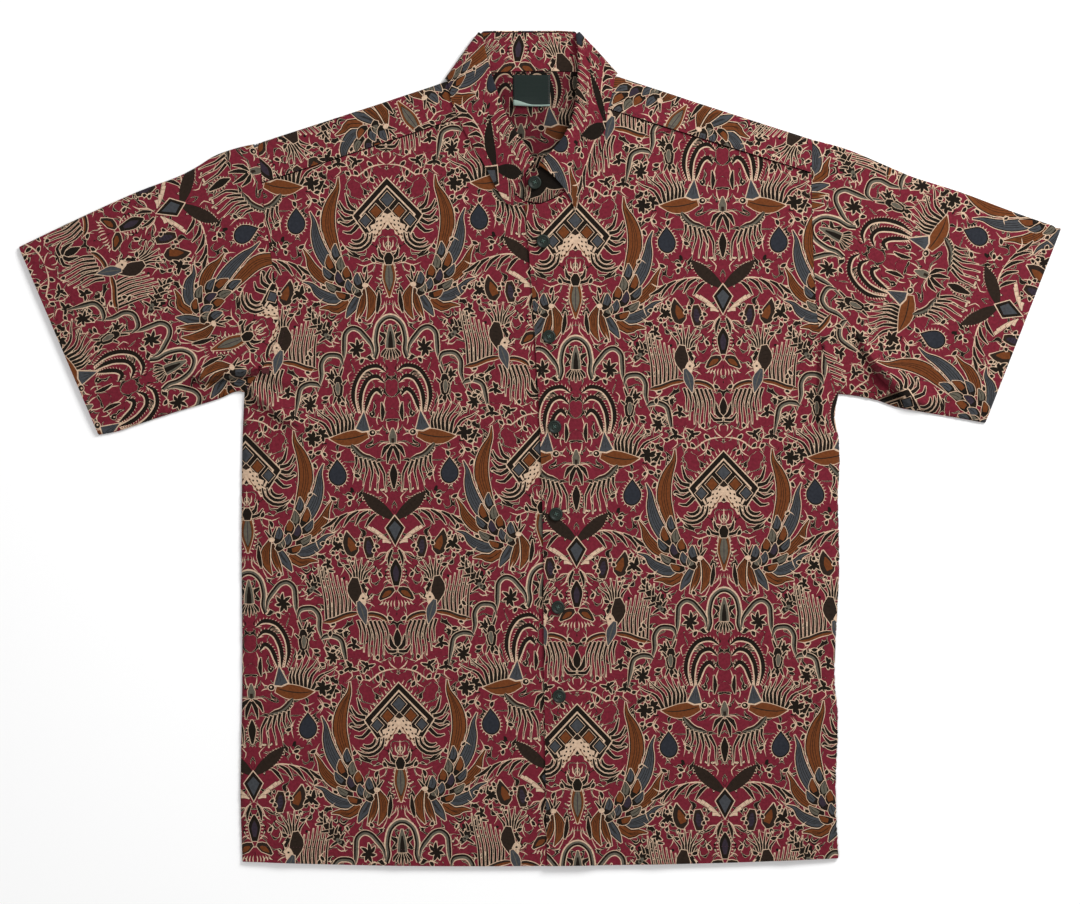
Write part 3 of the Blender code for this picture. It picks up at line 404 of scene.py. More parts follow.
blade([(42.5, 328), (40.5, 334), (38, 340)], [0.5, 3.2, 3], BROWN, 0)
blade([(25, 328), (24, 337), (23.5, 347)], [2.4, 5.2, 2.6], UMBER, 0.9)
blade([(25, 331), (24, 338), (23.5, 344)], [1, 2.8, 1], PLUM, 0)
for y in (332, 335, 338, 341, 344):
    stroke([(20, y), (28, y - 1)], 0.25, 0.2, GREEN)
for points in ([(47, 320), (52, 325), (49, 334)], [(49, 338), (54, 344), (62, 342)],
               [(30, 322), (33, 330), (31, 338)], [(32, 348), (40, 350), (46, 347)],
               [(17, 330), (19, 336), (16, 343)], [(56, 327), (63, 330), (66, 338)]):
    twig(points, ((0.5, 1, 4), (0.75, -1, 3.5)), 0.65)

# Upright bud with its two leaves, and the birds that face outwards
fringe([(1.5, 350), (6.4, 359), (4.6, 371)], 2.6, 2.9, half=0.7, side=-1)
blade([(0, 349), (0, 359), (0, 373)], [0.6, 5.2, 2.2], GREEN, 0.9)
blade([(0, 354), (0, 361), (0, 369)], [0.4, 2.8, 1.2], PLUM, 0.4, UMBER)
for k in range(5):
    stroke([(1.5 + 2.6 * k, 386), (2.2 + 3.0 * k, 389.5), (1.6 + 3.3 * k, 393.5 - 0.8 * k)], 0.8)
blade([(2, 376), (8.5, 379), (15.5, 385.5)], [1.6, 4.6, 1.0], UMBER, 0.95)
blade([(4.5, 378), (8.5, 380), (13, 383.6)], [0.8, 2.4, 0.5], BROWN, 0.4, GREEN)
stroke([(3, 373), (8, 368), (12, 371)], 0.75)
rays(np.linspace((31, 367), (40, 369), 6), [(20, 355), (25, 350), (31, 347), (37, 346), (43, 348), (48, 353)],
     (0.1, 0.06, 0, -0.04, -0.08, -0.1), 0.6)
rays(np.linspace((43.5, 399), (64.5, 403), 7), np.linspace((45.5, 368), (71, 352), 7),
     (-0.06, -0.06, -0.05, -0.05, -0.04, -0.04, -0.03), 0.5)
striped([(33, 397), (46, 399), (58, 403.5), (68, 405)],
        ((-2.6, 0.55, CREAM), (-1.2, 1.0, UMBER), (0.6, 0.9, BROWN), (2.1, 0.6, CREAM)))
striped([(29, 399), (22, 398.5), (14, 401), (8, 406)],
        ((-2.2, 0.55, CREAM), (-0.9, 0.9, BROWN), (0.7, 0.9, UMBER), (2.1, 0.55, CREAM)))
rays(np.linspace((36, 404), (13, 405), 7),
     [(34, 425), (31, 433), (26.5, 437), (22, 440), (17.5, 440), (12.5, 436), (8, 428)], 0.08, 0.55)
blade([(37.5, 365), (38.5, 376), (34, 389)], [2.6, 6.4, 3.4], UMBER, 0.95)
for y in (370, 373.5, 377, 380.5):
    stroke([(34.5, y + 0.8), (42, y - 0.4)], 0.22, 0.18, GREEN)
shape([(27, 383), (30.5, 378.5), (33, 381), (35, 385), (32.5, 391), (28.5, 390)], CREAM)
oval(30.6, 384, 1.2, 1.0, UMBER, 0, 8)
stroke([(28, 386), (24, 384.5), (20.5, 380)], 0.9)
stroke([(28, 388), (24, 389), (20, 392)], 0.7)
blade([(35, 386.5), (31.5, 396), (28.5, 408)], [1.4, 4.4, 0.5], SLATE, 0.9, vein=GREY)

# Flame plant, and the twig over the next roof
for points, halves in (([(0, 413), (0, 421), (0, 431)], [0.3, 3.4, 1.2]),
                       ([(1, 431), (5.5, 427), (7, 418)], [1.2, 1.8, 0.3]),
                       ([(1, 433), (8, 433), (12, 427)], [1.0, 1.3, 0.3])):
    blade(points, halves, GREEN, 0.8)
stroke([(0.5, 436), (4, 439), (3, 444)], 0.8)
stroke([(0, 450), (6, 446), (9, 441)], 0.9)
twig([(0, 449), (10, 450), (18, 453), (26, 459), (33, 458)], ((0.35, -1, 5), (0.6, 1, 6), (0.8, -1, 5)), 0.9)
twig([(14, 452), (16, 462), (24, 467)], ((0.5, 1, 5),), 0.75)

# Tendrils in the gaps
for points, leaves in (
    ([(37, 2), (33, -4), (36, -11)], ((0.5, 1, 5),)),
    ([(58, 4), (62, 14), (60, 24)], ((0.4, -1, 5), (0.8, 1, 4))),
    ([(44, 55), (40, 62), (32, 70)], ((0.5, -1, 4),)), ([(75, 12), (70, 20), (76, 27)], ((0.5, -1, 4),)),
    ([(60, 47), (58, 56)], ()), ([(30, 100), (34, 108)], ()),
    ([(85, 88), (79, 92), (72, 88)], ((0.6, 1, 5),)), ([(72, 110), (66, 112), (60, 108)], ()),
    ([(46, 127), (52, 131), (48, 138)], ((0.5, 1, 4),)), ([(27, 122), (30, 130), (26, 135)], ((0.4, 1, 4),)),
    ([(82, 118), (88, 124), (84, 132)], ((0.5, -1, 5),)), ([(50, 152), (56, 153), (60, 150)], ()),
    ([(70, 152), (76, 158), (72, 166)], ((0.5, 1, 5), (0.8, -1, 4))),
    ([(20, 166), (26, 164), (33, 167)], ((0.5, 1, 5),)), ([(70, 172), (75, 178), (80, 176)], ((0.5, -1, 4),)),
    ([(36, 176), (40, 180), (38, 188)], ()), ([(54, 196), (58, 200), (56, 208)], ((0.5, -1, 5),)),
    ([(40, 214), (43, 205), (41, 196)], ((0.5, 1, 4),)), ([(66, 220), (72, 224), (80, 222)], ((0.4, 1, 4),)),
    ([(62, 243), (66, 250), (62, 258)], ((0.5, -1, 5),)), ([(68, 255), (74, 260), (72, 268)], ((0.5, 1, 5),)),
    ([(44, 247), (50, 250), (58, 247)], ((0.5, 1, 5),)), ([(40, 262), (36, 270), (38, 280)], ((0.6, 1, 5),)),
    ([(18, 268), (13, 274), (16, 280)], ()), ([(62, 284), (58, 292), (64, 298)], ((0.5, 1, 5),)),
    ([(34, 286), (38, 293), (46, 296)], ((0.5, -1, 5), (0.8, 1, 4))), ([(12, 286), (6, 292), (8, 298)], ()),
    ([(70, 290), (76, 286), (80, 290)], ((0.5, 1, 4),)), ([(70, 322), (73, 330), (69, 340)], ((0.5, -1, 4),)),
    ([(12, 356), (17, 361), (14, 368)], ((0.5, 1, 5),)), ([(22, 360), (25, 368), (22, 375)], ((0.5, -1, 5),)),
    ([(52, 345), (50, 352)], ()), ([(6, 396), (9, 402), (6, 410)], ((0.5, 1, 5),)),
    ([(44, 409), (50, 414), (48, 421)], ((0.5, -1, 5),)), ([(56, 408), (62, 413), (70, 411)], ((0.5, 1, 5),)),
    ([(51, 428), (57, 432), (54, 440)], ((0.5, -1, 5),)), ([(64, 421), (67, 429), (63, 436)], ((0.5, 1, 5),)),
    ([(14, 444), (20, 440), (25, 433)], ((0.5, -1, 4),)), ([(60, 447), (54, 452), (56, 459)], ((0.5, 1, 4),)),
    ([(34, 438), (37, 446), (34, 453)], ()), ([(76, 436), (71, 444), (76, 451)], ((0.5, 1, 4),)),
    ([(48, 460), (42, 455), (44, 449)], ()),
):
    twig(points, leaves)


# ---- Back ----
# One panel of printed cotton from the hem to the yoke seam. It lies face down under everything, and its
# side seams turn up to meet the fronts.

MM = 0.001
WALL = 1.2  # cloth with its turnings
LAYER = 1.5  # from one layer's middle to the next
CLEAR = 0.15  # from the line of a seam to the edge of each piece that it joins
COLUMN, DROP = 135.0, 231.0  # from one column of the figure to the next, which starts half a repeat lower
NECK = {-1: (-77.5, 336.7), 1: (63, 340.8)}  # -1 is the wearer's right, 1 the left
SHOULDER = {-1: (-259, 277.8), 1: (249, 281.2)}
CUFF_TOP = {-1: (-477.5, 183), 1: (476.5, 200)}
CUFF_LOW = {-1: (-405.5, 13.2), 1: (408, 24.2)}
ARMPIT = {-1: (-270, 52), 1: (272, 51)}
HEM_END = {-1: (-272, -379), 1: (272, -376)}


def ease(t):
    """A smooth step, level at 0 and at 1."""
    t = np.clip(t, 0, 1)
    return t * t * (3 - 2 * t)


def distance(xy, path):
    """Distance of each point from a path of straight stretches."""
    best = np.full(xy.shape[:-1], np.inf)
    for a, b in zip(path[:-1], path[1:]):
        run = b - a
        share = np.clip((xy - a) @ run / (run @ run), 0, 1)
        best = np.minimum(best, np.linalg.norm(xy - a - share[..., None] * run, axis=-1))
    return best


def risen(start, end, table):
    """A line from start to end that bulges upwards by the table's rises: share of the way, rise."""
    start, end, rows = np.array(start, float), np.array(end, float), smooth(table, 4)
    run = unit(end - start)
    return start + rows[:, :1] * (end - start) + rows[:, 1:] * left_of(run) * np.sign(run[0])


arm_seam = {
    -1: smooth([SHOULDER[-1], (-254.5, 241), (-252.6, 213), (-243.5, 154), (-240, 113), (-250, 81),
                ARMPIT[-1]], 6),
    1: smooth([SHOULDER[1], (248, 242), (249, 200), (252, 136), (258, 90), ARMPIT[1]], 6),
}
body_side = {
    -1: smooth([ARMPIT[-1], (-272, 0), (-272.8, -90), (-272, -205), (-273.7, -310), HEM_END[-1]], 6),
    1: smooth([ARMPIT[1], (268.5, 28), (273, 0), (271.5, -50), (272.5, -110), (268.3, -204), (271.5, -250),
               (269.3, -314), HEM_END[1]], 6),
}
top_edge = {
    -1: risen(SHOULDER[-1], CUFF_TOP[-1], (
        (0, 0), (0.08, 3.8), (0.17, 5.3), (0.25, 2.5), (0.34, 1.2), (0.5, 3.2), (0.75, 2.3), (1, 0))),
    1: risen(SHOULDER[1], CUFF_TOP[1], (
        (0, 0), (0.1, 2.1), (0.18, 2.1), (0.34, -0.4), (0.42, -1.2), (0.6, 0.4), (0.8, -0.4), (1, 0))),
}
under_edge = {
    -1: risen(ARMPIT[-1], CUFF_LOW[-1], (
        (0, 0), (0.07, 3.5), (0.2, 1.4), (0.5, 0.7), (0.73, -0.6), (0.87, -1.6), (1, 0))),
    1: risen(ARMPIT[1], CUFF_LOW[1], (
        (0, 0), (0.13, 1.3), (0.27, 1.2), (0.4, -1.4), (0.54, -1.4), (0.8, -0.4), (1, 0))),
}
hem_line = smooth([HEM_END[-1], (-190, -381.5), (-100, -383), (0, -382.8), (100, -381.5), (180, -379.6),
                   HEM_END[1]], 4)
front_edge = smooth([(-14.2, 224), (-9.6, 166), (-5.5, 108), (0, 2), (2.6, -100), (3.2, -205), (6, -383)], 6)

# Creases of the upper layer: start, end, height, half-width on their left, and the right one's share of
# it. The five large ones at the armpits stand where the solids have their folds.
LARGE = 3.0  # creases from this height on have a narrow valley at the foot of their steep side
VALLEY = 0.18  # its depth, as a share of the crease's height
creases = (
    (-310, 64, -262, 71, 8.5, 12, 0.2), (-264, 50, -232, 26, 6.0, 11, 0.2),
    (295, 94, 310, 72, 5.5, 10, 0.22), (310, 72, 346, 36, 8.5, 12, 0.2),
    (258, 88, 256, 26, 4.6, 10, 0.22), (-262, 71, -228, 58, 2.4, 9, 0.4),
    (-300, 72, -262, 84, 1.2, 7, 0.6), (-292, 66, -250, 108, 0.9, 12, 0.5),
    (-234, 24, -196, 10, 1.0, 12, 0.6), (-262, 96, -226, 66, 0.8, 12, 0.6),
    (-262, 12, -240, -34, 0.9, 12, 0.5), (318, 92, 352, 96, 0.9, 9, 0.5), (262, 30, 232, 4, 1.1, 12, 0.5),
    (256, 110, 218, 92, 0.8, 14, 0.6), (268, -20, 246, -76, 0.8, 12, 0.6),
    (-340, 196, -300, 150, 0.9, 16, 0.6), (-400, 150, -352, 92, 0.8, 18, 0.6),
    (356, 190, 330, 140, 0.9, 16, 0.6), (420, 150, 392, 84, 0.8, 18, 0.6),
    (-90, 270, -128, 214, 0.7, 16, 0.7), (84, 268, 128, 200, 0.7, 18, 0.7),
    (-40, 206, -72, 150, 0.6, 14, 0.7), (44, 204, 70, 140, 0.6, 14, 0.7),
    (-210, -150, -176, -262, 0.6, 22, 0.8), (206, -120, 176, -250, 0.6, 22, 0.8),
    (-120, -300, -134, -372, 0.8, 14, 0.7), (92, -312, 104, -376, 0.8, 15, 0.7),
    (212, -330, 224, -374, 0.7, 12, 0.7), (-226, -336, -236, -378, 0.7, 12, 0.7),
    (20, -60, 60, -130, 0.5, 20, 0.8),
)


def crease_rows():
    """Points along the large creases and on both their sides, nearer to each other on the steep one."""
    rows = []
    for x1, y1, x2, y2, rise, width, steep in creases:
        if rise < LARGE:
            continue
        start, run = np.array((x1, y1), float), np.array((x2 - x1, y2 - y1), float)
        along = np.arange(-4, np.linalg.norm(run) + 5, 2.5)[:, None] * unit(run)
        for off in (1.8, 1.2, 0.7, 0.3, 0, *(-steep * np.array((0.4, 0.8, 1.2, 1.5, 1.9, 2.3, 2.8)))):
            rows.append(start + along + left_of(unit(run)) * off * width)
    return np.vstack(rows)


def side_x(side, y):
    """The armhole seam and the side seam below it, as X at a height Y."""
    line = np.vstack([arm_seam[side], body_side[side][1:]])
    return np.interp(-np.asarray(y), -line[:, 1], line[:, 0])


def edge_x(y):
    """The left front's edge, as X at a height Y."""
    return np.interp(-np.asarray(y), -front_edge[:, 1], front_edge[:, 0])


def ellipse(xy, middle, halves):
    """0 in the middle of an ellipse, 1 on its rim, and more outside."""
    return np.linalg.norm((xy - np.array(middle)) / np.array(halves), axis=-1)


def back_height(xy):
    """Middle of the lower layer, which lifts at the neck to lie on the fall of the collar."""
    return WALL / 2 + LAYER * (1 - ease((ellipse(xy, (-8, 365), (100, 50)) - 1.12) / 0.5))


PUFF, PUFF_REACH = 2.4, 45.0  # how far the fronts rise, and how far in from the folded edges
NECK_MIDDLE, NECK_LIFT = (-4, 300), 3.0  # of the oval that lifts at the neck, and its extra rise there


def front_height(xy):
    """Middle of the upper layer: the puff inside the folded edges, the lift at the neck, the creases.

    The puff is a quarter circle in from the fold, half as high at the open ends. The lift is a smooth
    step round an oval, with a cone on it. A crease is a bell curve across its line, narrower on its right,
    where a large one has a shallow valley beyond it.
    """
    folded = np.full(xy.shape[:-1], np.inf)
    opened = distance(xy, hem_line)
    for s in (-1, 1):
        top = np.vstack([[NECK[s]], top_edge[s]])
        under = np.vstack([under_edge[s][::-1], body_side[s][1:]])
        folded = np.minimum(folded, np.minimum(distance(xy, top), distance(xy, under)))
        opened = np.minimum(opened, distance(xy, np.array([top_edge[s][-1], under_edge[s][-1]])))
    inside = 1 - np.clip(folded / PUFF_REACH, 0, 1)
    height = WALL / 2 + LAYER + PUFF * np.sqrt(1 - inside**2) * (0.5 + 0.5 * ease(opened / 60))
    near = ellipse(xy, NECK_MIDDLE, (75, 80))
    height = height + PUFF * (1 - ease(near - 1)) + NECK_LIFT * np.clip(1.05 - near, 0, 1)
    for x1, y1, x2, y2, rise, width, steep in creases:
        off = distance(xy, np.array([(x1, y1), (x2, y2)], float))
        left = (x2 - x1) * (xy[..., 1] - y1) - (y2 - y1) * (xy[..., 0] - x1) > 0
        slope = np.exp(-((off / np.where(left, width, width * steep)) ** 2))
        if rise > LARGE:
            slope = slope - np.where(left, 0, VALLEY * np.exp(-((off / width / steep - 2) / 0.6) ** 2))
        height = height + rise * slope * ease(folded / 8)
    return height


def area_of(outline):
    """Area inside a closed line in the plane."""
    x, y = outline.T
    return abs(x @ np.roll(y, -1) - y @ np.roll(x, -1)) / 2


def inside_of(points, outline):
    """Whether each point lies inside an outline, by its winding number."""
    x, y = points[:, :1], points[:, 1:]
    x1, y1 = outline[:, 0], outline[:, 1]
    x2, y2 = np.roll(x1, -1), np.roll(y1, -1)
    turn = (x2 - x1) * (y - y1) - (x - x1) * (y2 - y1)
    winding = ((y1 <= y) & (y2 > y) & (turn > 0)).sum(1) - ((y1 > y) & (y2 <= y) & (turn < 0)).sum(1)
    return winding != 0


def printed(origin, up=(0, 1), smallest=0.0):
    """Places the columns of the figure on a plane of cloth: where a roof's tip is, and which way is up.

    Shapes under the smallest area are left out, to keep the triangles few. Gives a function that finds
    the shapes within two corners of the cloth, and one from the cloth to the plane of the figure.
    """
    up = unit(np.array(up, float))
    shapes = [(points, dye) for points, dye in figure if area_of(points) >= smallest]
    axes = np.column_stack([-left_of(up), -up])

    def shapes_within(low, high):
        corners = np.array([(x, y) for x in (low[0], high[0]) for y in (low[1], high[1])])
        local = (corners - origin) @ axes / (COLUMN, DROP)
        first = (np.floor(local.min(0)) - (1, 3)).astype(int)
        last = (np.ceil(local.max(0)) + (1, 1)).astype(int)
        starts = [(i, j) for i in range(first[0], last[0] + 1) for j in range(first[1], last[1] + 1)]
        found = []
        for start in starts:
            if sum(start) % 2:  # the next column starts half a repeat lower
                continue
            for points, dye in shapes:
                moved = origin + (points + np.multiply(start, (COLUMN, DROP))) @ axes.T
                if (moved.max(0) > low).all() and (moved.min(0) < high).all():
                    found.append((moved, dye))
        return found

    return shapes_within, lambda points: (points - origin) @ axes


STRIP = 12.0  # height of the strips of cloth that triangles are looked up in


def dyes_of(centres, shapes, lowest):
    """The dye of each triangle, from its centre: that of the last of the shapes that it lies in."""
    dyes = np.full(len(centres), MAROON)
    strip = ((centres[:, 1] - lowest) // STRIP).astype(int)
    strips = [np.flatnonzero(strip == k) for k in range(strip.max() + 1)]
    strips = [rows[np.argsort(centres[rows, 0])] for rows in strips]
    for outline, dye in shapes:
        (left, bottom), (right, top) = outline.min(0), outline.max(0)
        for rows in strips[max(0, int((bottom - lowest) // STRIP)):int((top - lowest) // STRIP) + 1]:
            near = rows[slice(*np.searchsorted(centres[rows, 0], (left, right)))]
            near = near[(centres[near, 1] > bottom) & (centres[near, 1] < top)]
            if len(near):
                dyes[near[inside_of(centres[near], outline)]] = dye
    return dyes


def triangulated(loop, shapes, spacing, folds=(), extra=()):
    """Points and triangles of the plane inside a loop, along the lines of the shapes, and each one's dye.

    Their edges also follow the lines of the folds, and the extra points are among them.
    """
    points, edges, count = [], [], 0
    for k, line in enumerate((loop, *folds, *(outline for outline, _ in shapes))):
        here = count + np.arange(len(line))
        points.append(line)
        is_fold = 0 < k <= len(folds)  # and so an open line, with one edge less
        edges.append(np.column_stack([here, np.roll(here, -1)])[:len(line) - is_fold])
        count += len(line)
    low, high = loop.min(0), loop.max(0)
    gx, gy = np.meshgrid(np.arange(low[0], high[0], spacing), np.arange(low[1], high[1], spacing * 0.87))
    gx = gx + spacing / 2 * (np.arange(gx.shape[0]) % 2)[:, None]
    loose = np.vstack([np.column_stack([gx.ravel(), gy.ravel()]), *extra])
    points = np.vstack([*points, loose[inside_of(loose, loop)]])
    flat, _, faces, *_ = delaunay_2d_cdt(
        [Vector(p) for p in points.tolist()], np.vstack(edges).tolist(), [], 0, 1e-4, False)
    flat, faces = np.array(flat), np.array(faces)
    centres = flat[faces].mean(1)
    kept = inside_of(centres, loop)
    dyes = dyes_of(centres[kept], shapes, low[1])
    used, faces = np.unique(faces[kept], return_inverse=True)
    flat, faces = flat[used], faces.reshape(-1, 3)
    a, b, c = (flat[faces[:, k]] for k in range(3))
    area = (b - a)[:, 0] * (c - a)[:, 1] - (b - a)[:, 1] * (c - a)[:, 0]
    faces[area < 0] = faces[area < 0][:, ::-1]
    return flat, faces, dyes


def rim_of(faces):
    """The boundary of a triangulation as one loop of point numbers."""
    edges = np.vstack([faces[:, (0, 1)], faces[:, (1, 2)], faces[:, (2, 0)]]).astype(np.int64)
    count = faces.max() + 1
    free = ~np.isin(edges[:, 0] * count + edges[:, 1], edges[:, 1] * count + edges[:, 0])
    following = dict(edges[free].tolist())
    start = next(iter(following))
    loop = [start]
    while following[loop[-1]] != start:
        loop.append(following[loop[-1]])
        if len(loop) > len(following):
            raise ValueError("the cut crosses itself")
    return np.array(loop)


dye_colours = (
    (0.130, 0.0122, 0.0222), (0.50, 0.355, 0.248), (0.0092, 0.0064, 0.0042), (0.118, 0.034, 0.0098),
    (0.043, 0.046, 0.051), (0.090, 0.080, 0.060), (0.027, 0.019, 0.028), (0.0185, 0.0115, 0.0078),
    (0.019, 0.021, 0.027), (0.06, 0.015, 0.017),
)
TENDRIL = 0.24  # how far from its middle the noise draws the tendrils, for each 1 that they swell
DARK_EDGE, DARK_CORE = 0.017, 0.055  # of the tendrils outside their cream, and inside it where they swell


def added(tree, kind, inputs, **settings):
    """Adds a node, whose inputs are numbers or the outputs that feed them, and gives its outputs."""
    node = tree.nodes.new("ShaderNode" + kind)
    for name, value in settings.items():
        setattr(node, name, value)
    for name, value in inputs.items():
        if isinstance(value, bpy.types.NodeSocket):
            tree.links.new(value, node.inputs[name])
        else:
            node.inputs[name].default_value = value
    return node.outputs


def plain_finish(name, **amounts):
    """A material with amounts set on its shader, whose words stand for the sockets' names."""
    made = bpy.data.materials.new(name)
    made.use_nodes = True
    shader = made.node_tree.nodes["Principled BSDF"]
    for socket, amount in amounts.items():
        shader.inputs[socket.replace("_", " ")].default_value = amount
    return made, made.node_tree, shader


def batik():
    """Plain-woven cotton in the dyes of the figure, with the wax-drawn tendrils that fill its ground.

    The attribute dye is a tenth of the number of the dye, and 1 more on the wrong side of the cloth,
    which is drawn darker: partly its duller dye, partly painted shade inside the neck.
    Figure is the place on the plane of the print, whose tendrils repeat and mirror with its columns.
    """
    made, tree, shader = plain_finish("batik_cotton", Roughness=0.85, Specular_IOR_Level=0.06,
                                      Sheen_Weight=0.05, Sheen_Roughness=0.5)

    def worked(operation, *values):
        return added(tree, "Math", dict(enumerate(values)), operation=operation)["Value"]

    def noise(vector, scale, detail, distortion=0.0):
        amounts = {"Vector": vector, "Scale": scale, "Detail": detail, "Distortion": distortion}
        return added(tree, "TexNoise", amounts)["Fac"]

    value = added(tree, "Attribute", {}, attribute_name="dye")["Fac"]
    wrong = worked("GREATER_THAN", value, 0.95)
    dye = worked("SUBTRACT", value, wrong)
    drawn = added(tree, "ValToRGB", {"Fac": dye})["Color"]
    ramp = drawn.node.color_ramp
    ramp.interpolation = "CONSTANT"
    for k, colour in enumerate(dye_colours):
        stop = ramp.elements[k] if k < 2 else ramp.elements.new(k / 10 - 0.05)
        stop.position = max(0, k / 10 - 0.05)
        stop.color = (*colour, 1)

    place = added(tree, "Attribute", {}, attribute_name="figure")["Vector"]
    place = added(tree, "SeparateXYZ", {"Vector": place})
    mirrored = worked("PINGPONG", place["X"], COLUMN)
    beyond = worked("SUBTRACT", COLUMN, worked("MULTIPLY", mirrored, 2.0))
    odd = worked("FLOORED_MODULO", worked("FLOOR", worked("DIVIDE", place["Y"], DROP)), 2.0)
    across = worked("ADD", mirrored, worked("MULTIPLY", odd, beyond))
    down = worked("FLOORED_MODULO", place["Y"], DROP)
    ground = added(tree, "CombineXYZ", {"X": across, "Y": down})["Vector"]
    tendril = worked("ABSOLUTE", worked("SUBTRACT", noise(ground, 0.075, 0.0, 1.0), 0.5))
    swell = worked("SUBTRACT", noise(ground, 0.11, 0.0), 0.39)
    bare = worked("LESS_THAN", dye, 0.05)
    half_width = worked("MULTIPLY", swell, TENDRIL)
    wider = worked("ADD", half_width, DARK_EDGE)
    narrower = worked("MULTIPLY", worked("SUBTRACT", swell, DARK_CORE), TENDRIL)
    for reach, tone in ((wider, GREEN), (half_width, CREAM), (narrower, GREEN)):
        inside = worked("MULTIPLY", bare, worked("LESS_THAN", tendril, reach))
        layers = {"Factor": inside, "A": drawn, "B": (*dye_colours[tone], 1)}
        drawn = added(tree, "Mix", layers, data_type="RGBA")["Result"]

    position = added(tree, "TexCoord", {})["Object"]
    limits = {"From Min": 0.3, "From Max": 0.7, "To Min": 0.82, "To Max": 1.18}
    mottle = added(tree, "MapRange", {"Value": noise(position, 420, 3.0), **limits})["Result"]
    # the wrong side 40% darker: partly its duller dye, partly painted shade inside the neck
    tone = worked("MULTIPLY", mottle, worked("SUBTRACT", 1.0, worked("MULTIPLY", wrong, 0.4)))
    toned = added(tree, "HueSaturation", {"Value": tone, "Color": drawn})["Color"]
    tree.links.new(toned, shader.inputs["Base Color"])
    wave = {"Vector": position, "Scale": 480, "Distortion": 0.6}
    threads = [added(tree, "TexWave", wave, bands_direction=way)["Fac"] for way in ("X", "Y")]
    weave = {"Strength": 0.25, "Distance": 0.0002, "Height": worked("MULTIPLY", *threads)}
    tree.links.new(added(tree, "Bump", weave)["Normal"], shader.inputs["Normal"])
    return made


cotton = batik()


def dense(path, step=4.0):
    """A path with points no further apart than step, on its straight stretches."""
    found = [path[:1]]
    for a, b in zip(path[:-1], path[1:]):
        count = max(1, math.ceil(np.linalg.norm(b - a) / step))
        found.append(a + (b - a) * (np.arange(1, count + 1) / count)[:, None])
    return np.vstack(found)


OPEN_SPACING = 14.0  # of the points of an inner sheet that follows no large folds
FOLD_SPACING = 11.0  # and of one that does


def two_sheets(loop, print_on, lining, lined, spacing, folds, extra):
    """The outer and the inner sheet of a cut, as points, triangles and dyes, and the rim of each.

    Both rims have the same points in the same order. A piece with a lining is cut along the prints of
    both, a lined one shows one print on both sides, and any other has a plain inside.
    """
    corners = loop.min(0), loop.max(0)
    edge, shapes = loop, print_on[0](*corners)
    if lining:  # every point where either print meets the edge is on both sheets
        flat, faces, _ = triangulated(loop, shapes, spacing, folds, extra)
        inner = triangulated(flat[rim_of(faces)], lining[0](*corners), spacing, folds, extra)
        edge = inner[0][rim_of(inner[1])]
    outer = triangulated(edge, shapes, spacing, folds, extra)
    rim = rim_of(outer[1])
    if lined and not lining:
        return outer, outer, rim, rim
    edge = outer[0][rim]
    if not lining:
        inner = triangulated(edge, [], FOLD_SPACING if extra else OPEN_SPACING, folds, extra)
        inner[2][:] = INSIDE
    place_of = {tuple(p): k for k, p in enumerate(np.round(inner[0], 3).tolist())}
    return outer, inner, rim, np.array([place_of[tuple(p)] for p in np.round(edge, 3).tolist()])


def mesh_of(name, points, triangles, normals):
    """A smooth mesh of triangles, in metres, with the direction that it faces at each of their corners."""
    mesh = bpy.data.meshes.new(name)
    mesh.vertices.add(len(points))
    mesh.vertices.foreach_set("co", points.ravel().astype(np.float32))
    mesh.loops.add(triangles.size)
    mesh.loops.foreach_set("vertex_index", triangles.ravel().astype(np.int32))
    mesh.polygons.add(len(triangles))
    mesh.polygons.foreach_set("loop_start", np.arange(0, triangles.size, 3, dtype=np.int32))
    mesh.update(calc_edges=True)
    mesh.polygons.foreach_set("use_smooth", np.ones(len(triangles), bool))
    mesh.normals_split_custom_set(normals.reshape(-1, 3).astype(np.float32))
    return mesh


